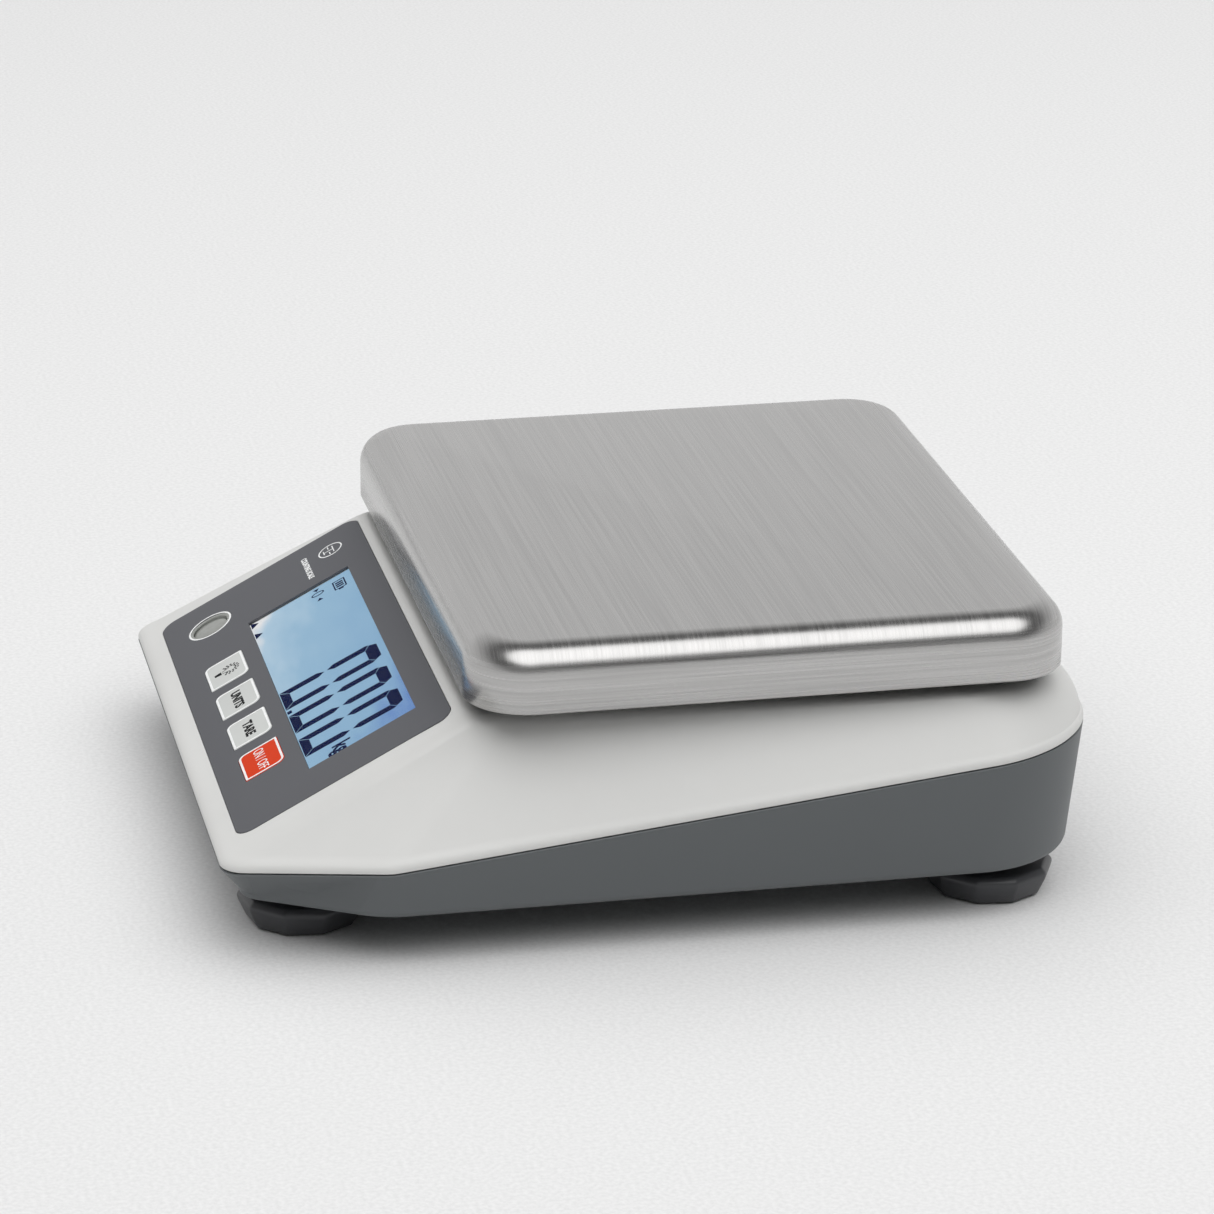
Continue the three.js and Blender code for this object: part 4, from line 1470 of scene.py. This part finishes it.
@dataclass
class Display:
    """The backlit cell with its segments, behind a clear pane."""

    panel: PanelFrame
    digit_width: float = 14.8
    digit_low: float = 28.6
    digit_high: float = 63.9
    stroke: float = 3.5
    lean: float = 0.035
    digit_left: tuple[float, ...] = (7.6, 27.9, 48.3)
    digit_cap: float = 4.3
    digit_foot: float = 3.2
    segment_thick: float = 0.04
    arrow_x: tuple[float, ...] = (-55.6, -46.0)
    battery_spot: Spot = (-51.0, 61.4)
    zero_spot: Spot = (-51.6, 53.4)
    unit_spot: Spot = (69.8, 39.6)
    unit_size: Spot = (6.6, 8.6)

    def cell(self) -> bpy.types.Object:
        """Builds the glowing cell with a UV map that runs across and up it.

        Returns:
            The cell.
        """
        low, high = local_box("lcd_glass", self.panel)
        made = Blank().box(low, high).piece("display_cell", Shade.CELL, self.panel.matrix)
        back = self.panel.matrix.inverted()
        layer = made.data.uv_layers.new(name="across")
        for loop in made.data.loops:
            place = back @ made.data.vertices[loop.vertex_index].co / MM
            layer.data[loop.index].uv = ((place.x - low[0]) / (high[0] - low[0]),
                                         (place.y - low[1]) / (high[1] - low[1]))
        return made

    def bar(self, blank: Blank, points: Sequence[Spot]) -> None:
        """Adds one segment to a blank, leaning as the digits do.

        Args:
            blank: The blank that the segment joins.
            points: The segment's upright outline, anticlockwise.
        """
        top = local_box("lcd_glass", self.panel)[1][2]
        leaning = [(x + self.lean * (y - self.digit_low), y) for x, y in points]
        blank.slab(leaning, top, top + self.segment_thick)

    def zero(self, blank: Blank, left: float) -> None:
        """Adds a seven-segment zero.

        Args:
            blank: The blank that the zero joins.
            left: Place of its left side along the cell.
        """
        right, low, high, wide = left + self.digit_width, self.digit_low, self.digit_high, self.stroke
        middle, gap, cut = (low + high) / 2 - 0.9, 0.16, 2.4
        cap, foot = self.digit_cap, self.digit_foot
        self.bar(blank, [(left + gap + wide, high - cap), (right - wide - gap, high - cap),
                         (right - cut * 0.35, high - cut), (right - cut, high), (left + cut, high),
                         (left + cut * 0.35, high - cut)])
        self.bar(blank, [(left + 0.3 + gap, low), (right - 0.3 - gap, low),
                         (right - wide - gap, low + foot), (left + wide + gap, low + foot)])
        for x, side in ((left, 1), (right, -1)):
            inner, half = x + side * wide, x + side * wide * 0.5
            upper = [(x, middle + 3), (half, middle + 0.5), (inner, middle + 3), (inner, high - cap - gap),
                     (x + side * 0.5, high - cut - gap), (x, high - cut - 1.2)]
            lower = [(x, low), (inner, low + foot + gap), (inner, middle - 3), (half, middle - 0.5),
                     (x, middle - 3)]
            for outline in (upper, lower):
                self.bar(blank, outline[::side])

    def segments(self) -> bpy.types.Object:
        """Builds the reading 0.00 and the small signs round it.

        Returns:
            All the dark segments as one piece.
        """
        blank = Blank()
        for left in self.digit_left:
            self.zero(blank, left)
        dot, low = self.digit_left[1] - 3.9, self.digit_low
        self.bar(blank, [(dot, low), (dot + 2.2, low), (dot + 2.2, low + 1.6), (dot, low + 1.6)])
        for x in self.arrow_x:
            self.bar(blank, [(x - 2.3, low), (x + 2.3, low), (x, low + 2.8)])
        self.battery_sign(blank, *self.battery_spot)
        self.zero_sign(blank, *self.zero_spot)
        return blank.piece("display_segments", Shade.SEGMENT, self.panel.matrix)

    def battery_sign(self, blank: Blank, x: float, y: float) -> None:
        """Adds a battery outline with three charge bars.

        Args:
            blank: The blank that the sign joins.
            x: Its middle, across the panel.
            y: Its middle, up the panel.
        """
        half_w, half_h, line = 3.6, 2.3, 0.5
        for left, right, low, high in (
                (x - half_w, x + half_w, y + half_h - line, y + half_h),
                (x - half_w, x + half_w, y - half_h, y - half_h + line),
                (x - half_w, x - half_w + line, y - half_h + line, y + half_h - line),
                (x + half_w - line, x + half_w, y - half_h + line, y + half_h - line),
                (x + half_w, x + half_w + 0.9, y - 0.9, y + 0.9)):
            self.bar(blank, [(left, low), (right, low), (right, high), (left, high)])
        for step in (-1, 0, 1):
            left, right = x + step * 1.6 - 0.5, x + step * 1.6 + 0.5
            self.bar(blank, [(left, y - 1.4), (right, y - 1.4), (right, y + 1.4), (left, y + 1.4)])

    def zero_sign(self, blank: Blank, x: float, y: float) -> None:
        """Adds the zero sign: a narrow ring between two arrowheads.

        Args:
            blank: The blank that the sign joins.
            x: Its middle, across the panel.
            y: Its middle, up the panel.
        """
        top = local_box("lcd_glass", self.panel)[1][2]
        high, circle = top + self.segment_thick, circle_loop(1, (0, 0), 28)
        ring = [(x + 1.5 * px, y + 2.4 * py) for px, py in circle]
        hole = [(x + 1.0 * px, y + 1.9 * py) for px, py in circle]
        blank.skin([at_height(hole, top), at_height(ring, top), at_height(ring, high),
                    at_height(hole, high)], capped=False)
        self.bar(blank, [(x - 5.0, y - 1.1), (x - 3.0, y), (x - 5.0, y + 1.1)])
        self.bar(blank, [(x + 5.0, y - 1.1), (x + 5.0, y + 1.1), (x + 3.0, y)])

    def build(self) -> None:
        """Builds the cell, segments, unit and pane and fixes them to the housing."""
        mount(self.cell(), "housing", "lcd_glass", "lcd_glass")
        mount(self.segments(), "housing", "lcd_glass")
        top = local_box("lcd_glass", self.panel)[1][2]
        unit = letters("display_unit", "kg", self.unit_size, self.unit_spot, top, Shade.SEGMENT,
                       self.panel, 0.03)
        mount(unit, "housing", "lcd_glass")
        low, high = local_box("display_window", self.panel)
        loop = rectangle_loop(high[0] - low[0], high[1] - low[1], 0.3,
                              ((low[0] + high[0]) / 2, (low[1] + high[1]) / 2), 3, 0.1)
        pane = Blank().slab(loop, low[2], high[2]).piece("display_pane", Shade.PANE, self.panel.matrix)
        mount(pane, "housing", "clear_window", "display_window")


# -------------------------------------------------------------------------------- level


@dataclass
class SpiritLevel:
    """The bull's-eye level under its opening in the panel."""

    panel: PanelFrame
    dome: float = 0.25
    lip: float = 0.35
    gap: float = 0.12
    sides: int = 56

    def ring(self, radius: float) -> list[Spot]:
        """Draws a circle round the level's upright axis."""
        return circle_loop(radius, centre_of("level_vial"), self.sides)

    def slanted(self, radius: float, out: float, sink: float) -> Ring:
        """Draws a circle on a plane that slopes with the panel.

        Args:
            radius: The circle's radius in plan.
            out: How far the plane lies above the panel's own frame, along the panel's normal.
            sink: How far the circle lies below that plane.

        Returns:
            The ring.
        """
        foot = self.panel.matrix @ Vector((0, 0, 0)) / MM
        middle = foot.z + out / math.cos(self.panel.slope)
        slope = math.tan(self.panel.slope)
        return [(x, y, middle + (y - foot.y) * slope - sink) for x, y in self.ring(radius)]

    def vial(self, radius: float, face: float) -> bpy.types.Object:
        """Builds the vial with its domed slanting face.

        Args:
            radius: The vial's radius.
            face: Height of its face in the panel's frame.

        Returns:
            The vial.
        """
        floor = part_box("level_vial")[0].z / MM
        steps = ((1.0, self.dome + 0.6), (0.97, self.dome + 0.25), (0.8, self.dome * 0.55),
                 (0.5, self.dome * 0.2), (0.15, 0.0))
        rings = [at_height(self.ring(radius), floor)]
        rings.extend(self.slanted(radius * share, face, sink) for share, sink in steps)
        return Blank().skin(rings).piece("level_vial_body", Shade.LEVEL_GLASS)

    def cup(self, vial_radius: float) -> bpy.types.Object:
        """Builds the open cup that holds the vial.

        Args:
            vial_radius: The vial's radius.

        Returns:
            The cup.
        """
        low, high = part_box("level_cup")
        floor, outer = low.z / MM, (high.x - low.x) / 2 / MM
        bore, out = vial_radius + self.gap, self.panel.proud
        rings = [at_height(self.ring(outer), floor), self.slanted(outer, out, self.lip),
                 self.slanted(outer - self.lip, out, 0.05), self.slanted(bore + self.lip, out, 0.05),
                 self.slanted(bore, out, self.lip), at_height(self.ring(bore), floor + 1.5)]
        return Blank().skin(rings).piece("level_cup_body", Shade.LEVEL_GLASS)

    def build(self) -> None:
        """Builds the vial and its cup and fixes them to the housing."""
        low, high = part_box("level_vial")
        radius = (high.x - low.x) / 2 / MM
        face = local_box("level_vial", self.panel)[1][2]
        mount(self.vial(radius, face), "housing", "clear_window", "level_vial")
        mount(self.cup(radius), "housing", "black_plastic", "level_cup")


# -------------------------------------------------------------------------------- pan


@dataclass
class WeighingPan:
    """The pressed stainless tray with a rolled edge, a hemmed skirt and four locating cups."""

    width: float = 230.0
    depth: float = 190.0
    edge: float = 9.0
    corner: float = 20.0
    sheet: float = 1.2
    hem: float = 4.0
    cup_radius: float = 12.0
    cup_bore: float = 9.8

    def loop(self, centre_y: float, inset: float) -> list[Spot]:
        """Returns the tray's outline moved inwards."""
        return rectangle_loop(self.width - 2 * inset, self.depth - 2 * inset, self.corner - inset,
                              (0, centre_y), 22, 0.8)

    def rolled(self, centre_y: float, radius: float, inset: float, roof: float) -> list[Ring]:
        """Rolls the edge of the tray.

        Args:
            centre_y: The tray's middle along Y.
            radius: Radius of the roll.
            inset: How far the skirt lies inwards.
            roof: Height of the flat top.

        Returns:
            The rings, from the skirt to the flat top.
        """
        steps = 12
        rings = []
        for step in range(steps + 1):
            angle = step / steps * math.pi / 2
            loop = self.loop(centre_y, inset + radius * (1 - math.cos(angle)))
            rings.append(at_height(loop, roof - radius * (1 - math.sin(angle))))
        return rings

    def build(self) -> None:
        """Builds the tray and fixes it to the pan body."""
        low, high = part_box("weighing_pan")
        centre_y = (low.y + high.y) / 2 / MM
        rim, top = low.z / MM, high.z / MM
        roof = top - self.sheet
        rings = [
            *reversed(self.rolled(centre_y, self.edge - self.sheet, self.sheet, roof)),
            at_height(self.loop(centre_y, self.sheet), rim + self.hem + 0.4),
            at_height(self.loop(centre_y, self.sheet + 1.0), rim + self.hem),
            at_height(self.loop(centre_y, self.sheet + 1.0), rim + 0.5),
            at_height(self.loop(centre_y, self.sheet + 0.5), rim),
            at_height(self.loop(centre_y, 0.5), rim),
            at_height(self.loop(centre_y, 0), rim + 0.6),
            *self.rolled(centre_y, self.edge, 0, top),
        ]
        made = Blank().skin(rings).piece("weighing_pan_tray", Shade.STEEL, sharp=40)
        cups, wells = Blank(), Blank()
        for place in CORNERS:
            spot = centre_of(f"bumper_{place}")
            cups.turned([(self.cup_radius - 0.6, roof - 5), (self.cup_radius, roof - 4.4),
                         (self.cup_radius, top - 0.5)], spot)
            wells.turned([(self.cup_bore, roof - 7), (self.cup_bore, roof - 0.01)], spot)
        carve(made, Shade.STEEL, cups, wells, sharp=40)
        mount(made, "pan", "brushed_stainless", "weighing_pan")


@dataclass
class PanSupport:
    """The cast H frame on the load cell, with a rubber cap on each post."""

    post_radius: float = 6.0
    beam: float = 14.0
    plate: float = 52.0
    window: Spot = (30.0, 60.0)

    def frame_casting(self) -> bpy.types.Object:
        """Builds the cast frame: two cross beams on a centre plate with tapered posts.

        Returns:
            The casting.
        """
        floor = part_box("pan_support")[0].z / MM
        spots = [centre_of(f"bumper_{place}") for place in CORNERS]
        cap_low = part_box("bumper_front_left")[0].z / MM
        front, rear = spots[0][1], spots[2][1]
        reach, middle = spots[1][0], (front + rear) / 2
        plate = rectangle_loop(self.plate, rear - front, 2, (0, middle))
        made = Blank().slab(plate, floor, floor + 5).piece("pan_support_casting", Shade.CAST)
        for y in (front, rear):
            bar = Blank().slab(rectangle_loop(2 * reach, self.beam, 3, (0, y)), floor, floor + 8)
            carve(made, Shade.CAST, bar)
        posts = Blank()
        for spot in spots:
            posts.turned([(8, floor), (8, floor + 8), (self.post_radius + 0.8, floor + 9.5),
                          (self.post_radius, cap_low - 2), (self.post_radius, cap_low + 7)], spot)
        carve(made, Shade.CAST, posts)
        window = rectangle_loop(*self.window, 6, (0, middle + 12))
        carve(made, Shade.CAST, removed=Blank().slab(window, floor - 1, floor + 12))
        seats = Blank()
        for number in (1, 2):
            seats.turned([(3.3, floor - 1), (3.3, floor + 3.99), (5.6, floor + 4), (5.6, floor + 12)],
                         centre_of(f"bolt_upper_{number}"), 32)
        return carve(made, Shade.CAST, removed=seats)

    def cap(self, place: str) -> bpy.types.Object:
        """Builds the grooved rubber cap of one post.

        Args:
            place: The post's corner.

        Returns:
            The cap.
        """
        low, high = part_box(f"bumper_{place}")
        outer, groove = (high.x - low.x) / 2 / MM, (high.x - low.x) / 2 / MM - 0.7
        floor, top = low.z / MM, high.z / MM
        inside = self.post_radius + 0.2
        profile = [(inside, top - 3.9), (inside, floor), (outer - 0.4, floor), (outer, floor + 0.5),
                   (outer, floor + 2.2), (groove, floor + 2.8), (groove, floor + 3.6),
                   (outer, floor + 4.2), (outer, top - 1.2), (outer - 0.4, top - 0.4), (outer - 1.4, top)]
        blank = Blank().turned(profile, centre_of(f"bumper_{place}"))
        return blank.piece(f"rubber_cap_{place}", Shade.RUBBER)

    def build(self) -> None:
        """Builds the casting and the caps and fixes them to the load platform."""
        mount(self.frame_casting(), "load_platform", "cast_aluminium", "pan_support")
        for place in CORNERS:
            mount(self.cap(place), "load_platform", "rubber", f"bumper_{place}")


# -------------------------------------------------------------------------------- feet


@dataclass
class LevellingFoot:
    """One screw foot: a faceted knob on a threaded stud, with a rubber sole and a brass insert."""

    place: str
    facets: int = 10
    flange: float = 21.0
    sole_seat: float = 15.8
    lower_rim: float = 17.9
    sole_radius: float = 15.5
    stud_bore: float = 4.2
    core: float = 3.45
    pitch: float = 1.25
    insert_bore: float = 4.3

    @property
    def spot(self) -> Spot:
        """The foot's axis in plan."""
        return centre_of(f"foot_insert_{self.place}")

    @property
    def sole_top(self) -> float:
        """The top of the rubber sole."""
        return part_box(f"foot_pad_{self.place}")[1].z / MM

    def knob(self) -> bpy.types.Object:
        """Builds the faceted knob with softened edges and a hub.

        Returns:
            The knob.
        """
        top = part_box(f"foot_knob_{self.place}")[1].z / MM
        hub_low = top - 3
        skirt = [(self.lower_rim, 0.7), (self.flange - 0.5, 6.2), (self.flange, 8.3),
                 (self.flange - 1.7, 10.2), (9.4, hub_low + 0.6), (9.0, top)]
        blank = Blank().turned(skirt, self.spot, self.facets, math.radians(11))
        made = blank.piece(f"foot_knob_body_{self.place}", Shade.FOOT)
        seat = [(self.sole_seat, -1), (self.sole_seat, self.sole_top + 0.2),
                (self.stud_bore, self.sole_top + 0.21), (self.stud_bore, top + 1)]
        carve(made, Shade.FOOT, removed=Blank().turned(seat, self.spot))
        soft = made.modifiers.new("soft edges", "BEVEL")
        soft.width = 0.7 * MM
        soft.segments = 3
        soft.limit_method = "ANGLE"
        soft.angle_limit = math.radians(18)
        settle(made)
        finish_mesh(made, Shade.FOOT, 40)
        return made

    def stud(self) -> bpy.types.Object:
        """Builds the core of the stud.

        Returns:
            The core.
        """
        low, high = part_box(f"foot_stud_{self.place}")
        top = high.z / MM
        profile = [(self.core, low.z / MM), (self.core, top - 0.8), (self.core - 0.8, top)]
        return Blank().turned(profile, self.spot, 24).piece(f"foot_stud_core_{self.place}", Shade.ZINC)

    def thread(self) -> bpy.types.Object:
        """Winds the thread round the stud.

        Returns:
            The thread's ridge.
        """
        low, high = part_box(f"foot_stud_{self.place}")
        floor, top = low.z / MM, high.z / MM
        height = top - floor - 1.6
        foot = (self.spot[0] * MM, self.spot[1] * MM, (floor + 0.6) * MM)
        return grow(f"foot_stud_thread_{self.place}", thread_tree(), Shade.ZINC, 50,
                    Turns=height / self.pitch, Radius=self.core * MM, Height=height * MM,
                    Ridge=0.5 * MM, Foot=foot)

    def sole(self) -> bpy.types.Object:
        """Builds the rubber sole with its grip grooves.

        Returns:
            The sole.
        """
        profile, rim = [(2.0, 0.8), (3.0, 0.0)], self.sole_radius
        for start, end in ((6.0, 8.2), (11.2, 13.2)):
            profile += [(start, 0.0), (start + 0.6, 0.6), (end - 0.6, 0.6), (end, 0.0)]
        profile += [(rim - 0.4, 0.0), (rim, 0.5), (rim, self.sole_top)]
        return Blank().turned(profile, self.spot, 56).piece(f"foot_sole_{self.place}", Shade.RUBBER)

    def insert(self) -> bpy.types.Object:
        """Builds the brass insert with its chamfered rims.

        Returns:
            The insert.
        """
        low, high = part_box(f"foot_insert_{self.place}")
        floor, top, outer = low.z / MM, high.z / MM, (high.x - low.x) / 2 / MM
        profile = [(self.insert_bore, floor), (outer - 0.4, floor), (outer, floor + 0.5),
                   (outer, top - 0.5), (outer - 0.4, top), (self.insert_bore, top)]
        rings = [at_height(circle_loop(radius, self.spot, 40), height) for radius, height in profile]
        return Blank().skin(rings, capped=False).piece(f"foot_insert_ring_{self.place}", Shade.BRASS)

    def build(self) -> None:
        """Builds the foot and fixes its pieces to its bodies."""
        screw = f"{self.place}_screw"
        mount(self.knob(), screw, "foot_plastic", f"foot_knob_{self.place}")
        mount(self.stud(), screw, "zinc_steel", f"foot_stud_{self.place}")
        mount(self.thread(), screw, "zinc_steel")
        mount(self.sole(), f"{self.place}_sole", "rubber", f"foot_pad_{self.place}")
        mount(self.insert(), "housing", "brass", f"foot_insert_{self.place}")


# -------------------------------------------------------------------------------- underside


@dataclass
class Underside:
    """The battery door with its finger ribs."""

    plate: float = 2.5
    edge: float = 0.4
    corner: float = 3.7
    grip_ahead: float = 34.0
    stiffener_y: float = 30.0
    rib_count: int = 9
    rib_step: float = 2.4

    def door(self) -> bpy.types.Object:
        """Builds the battery door as a plate with a rounded lower edge and two stiffening ribs.

        Returns:
            The door.
        """
        low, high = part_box("battery_door")
        x, y = centre_of("battery_door")
        width, length = (high.x - low.x) / MM, (high.y - low.y) / MM
        floor, top = low.z / MM, high.z / MM
        edge, plate_top = self.edge, floor + self.plate
        face = rectangle_loop(width - 2 * edge, length - 2 * edge, self.corner - edge, (x, y))
        rim = rectangle_loop(width, length, self.corner, (x, y))
        rings = [at_height(face, floor), at_height(rim, floor + edge), at_height(rim, plate_top)]
        made = Blank().skin(rings).piece("battery_door_plate", Shade.BASE)
        ribs = Blank()
        for side in (-1, 1):
            rib_y = y + side * self.stiffener_y
            ribs.box((x - 20, rib_y - 1, plate_top - 0.5), (x + 20, rib_y + 1, top))
        grip = rectangle_loop(26, 24, 4, (x, y - self.grip_ahead))
        return carve(made, Shade.BASE, ribs, Blank().slab(grip, floor - 1, floor + 0.9))

    def grip_ribs(self) -> bpy.types.Object:
        """Builds the row of finger ribs in the door's grip.

        Returns:
            The ribs.
        """
        low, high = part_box("battery_door")
        x = (low.x + high.x) / 2
        y = (low.y + high.y) / 2 - self.grip_ahead * MM
        start = y - (self.rib_count - 1) / 2 * self.rib_step * MM
        return grow("battery_door_ribs", row_tree(), Shade.BASE, Count=self.rib_count,
                    Start=(x, start, low.z + 0.65 * MM), Step=(0, self.rib_step * MM, 0),
                    Bar=(20 * MM, 0.9 * MM, 0.9 * MM))

    def build(self) -> None:
        """Builds the door and its ribs and fixes them to the hatch body."""
        mount(self.door(), "battery_hatch", "base_abs", "battery_door")
        mount(self.grip_ribs(), "battery_hatch", "base_abs")


@dataclass
class Internals:
    """The pieces inside the housing, which keep their CAD shape and take their real finishes."""

    finishes: dict[str, Shade] = field(default_factory=lambda: {
        "load_cell": Shade.CAST, "spacer": Shade.ZINC, "bolt": Shade.ZINC, "overload_stop": Shade.ZINC,
        "display_board": Shade.BOARD, "main_board": Shade.BOARD, "lcd_backlight": Shade.MILK,
        "display_ribbon": Shade.RIBBON, "switch": Shade.BLACK, "buzzer": Shade.BLACK,
        "battery": Shade.BLACK, "power_inlet": Shade.BLACK,
    })
    leg_count: int = 16
    leg_step: float = 1.27

    def board_parts(self) -> bpy.types.Object:
        """Builds a row of chip legs on the main board, from a repeated bar.

        Returns:
            The legs.
        """
        low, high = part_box("main_board")
        return grow("chip_legs", row_tree(), Shade.ZINC, Count=self.leg_count,
                    Start=(low.x + 30 * MM, low.y + 24 * MM, high.z + 0.5 * MM),
                    Step=(self.leg_step * MM, 0, 0), Bar=(0.5 * MM, 14 * MM, 0.9 * MM))

    def build(self) -> None:
        """Dresses every CAD node that stays in view of its body."""
        for node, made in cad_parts.items():
            fitting = [shade for start, shade in self.finishes.items() if node.startswith(start)]
            shade = fitting[0] if fitting else None
            if shade and not made.hide_render:
                made.data.materials.clear()
                made.data.materials.append(shade.material)
                LOG.info("%s wears %s", node, shade.value.name)
        mount(self.board_parts(), "housing", "zinc_steel")


# -------------------------------------------------------------------------------- studio


@dataclass
class Studio:
    """The pale floor, the soft lights and the camera."""

    floor_half: float = 12.0
    azimuth: float = math.radians(77.98)
    elevation: float = math.radians(20.19)
    roll: float = math.radians(0.42)
    lens: float = 153.5
    sensor: float = 36.0
    camera_spot: Point = (1.55021, -0.32638, 0.65052)
    sky_lean: float = math.radians(30)
    fill: float = 1.08
    shine: float = 2.0
    overhead_spot: Point = (0.1, 0.3, 2.2)
    overhead_aim: Point = (0.0, 0.2, 0.0)
    overhead_size: Spot = (4.5, 5.0)
    overhead_power: float = 88.0

    def floor(self) -> None:
        """Lays the pale floor."""
        half = self.floor_half
        mesh = bpy.data.meshes.new("studio_floor")
        mesh.from_pydata([(-half, -half, 0), (half, -half, 0), (half, half, 0), (-half, half, 0)], [],
                         [(0, 1, 2, 3)])
        made = bpy.data.objects.new("studio_floor", mesh)
        mesh.materials.append(Ink("matt white paper", "#e3e3e3", 0.9).material())
        bpy.context.scene.collection.objects.link(made)

    def softbox(self) -> None:
        """Hangs one soft rectangular light overhead, which the metal doesn't mirror."""
        lamp = bpy.data.lights.new("overhead", "AREA")
        lamp.shape = "RECTANGLE"
        lamp.size, lamp.size_y = self.overhead_size
        lamp.energy = self.overhead_power
        made = bpy.data.objects.new("overhead", lamp)
        made.location = self.overhead_spot
        made.visible_glossy = False
        aim = Vector(self.overhead_aim) - Vector(self.overhead_spot)
        made.rotation_euler = aim.to_track_quat("-Z", "Y").to_euler()
        bpy.context.scene.collection.objects.link(made)

    def sky(self) -> None:
        """Fills the room with light: full overhead and pale low down, with a darker belt between.

        The metal mirrors it at the strength shine, and everything else is lit at the strength fill.
        """
        world = bpy.data.worlds.new("studio")
        bpy.context.scene.world = world
        world.use_nodes = True
        tree = world.node_tree
        tree.nodes.clear()
        place = add_node(tree, "ShaderNodeTexCoord")
        lean = add_node(tree, "ShaderNodeMapping", values={"Rotation": (0, -self.sky_lean, 0)},
                        links={"Vector": place.outputs["Generated"]})
        parts = add_node(tree, "ShaderNodeSeparateXYZ", links={0: lean.outputs[0]})
        height = add_node(tree, "ShaderNodeMath", operation="MULTIPLY_ADD", values={1: 0.5, 2: 0.5},
                          links={0: parts.outputs["Z"]})
        belt = colour_ramp(tree, height.outputs[0], [
            (0.0, linear("#a0a0a0")), (0.42, linear("#acacac")), (0.64, linear("#8f8f8f")),
            (0.78, linear("#4c4c4c")), (0.9, linear("#585858")), (0.95, linear("#ffffff")),
        ])
        ray = add_node(tree, "ShaderNodeLightPath")
        strength = add_node(tree, "ShaderNodeMapRange", links={"Value": ray.outputs["Is Glossy Ray"]},
                            values={"To Min": self.fill, "To Max": self.shine})
        light = add_node(tree, "ShaderNodeBackground",
                         links={"Color": belt, "Strength": strength.outputs[0]})
        add_node(tree, "ShaderNodeOutputWorld", links={"Surface": light.outputs[0]})

    def camera(self) -> None:
        """Stands the camera at the viewing angle."""
        data = bpy.data.cameras.new("camera")
        data.lens, data.sensor_width = self.lens, self.sensor
        data.clip_start, data.clip_end = 0.05, 60
        made = bpy.data.objects.new("camera", data)
        a, e = self.azimuth, self.elevation
        back = Vector((math.sin(a) * math.cos(e), -math.cos(a) * math.cos(e), math.sin(e)))
        right = Vector((math.cos(a), math.sin(a), 0))
        up = back.cross(right)
        turned_right = math.cos(self.roll) * right + math.sin(self.roll) * up
        turned_up = -math.sin(self.roll) * right + math.cos(self.roll) * up
        turn = Matrix((turned_right, turned_up, back)).transposed().to_4x4()
        made.matrix_world = Matrix.Translation(self.camera_spot) @ turn
        bpy.context.scene.collection.objects.link(made)
        bpy.context.scene.camera = made

    def build(self) -> None:
        """Sets the studio up."""
        self.camera()
        self.floor()
        self.sky()
        self.softbox()
        bpy.context.scene.view_settings.view_transform = "Standard"
        LOG.info("studio stands ready")


def main() -> None:
    """Builds the scale sub-assembly by sub-assembly."""
    logging.basicConfig(level=logging.INFO, format="%(name)s: %(message)s")
    panel = PanelFrame()
    Studio().build()
    assemblies = [Housing(panel), Keypad(panel), Display(panel), SpiritLevel(panel), WeighingPan(),
                  PanSupport(), *[LevellingFoot(place) for place in CORNERS], Underside(), Internals()]
    for assembly in assemblies:
        assembly.build()
        LOG.info("%s built", type(assembly).__name__)


if __name__ == "__main__":
    main()
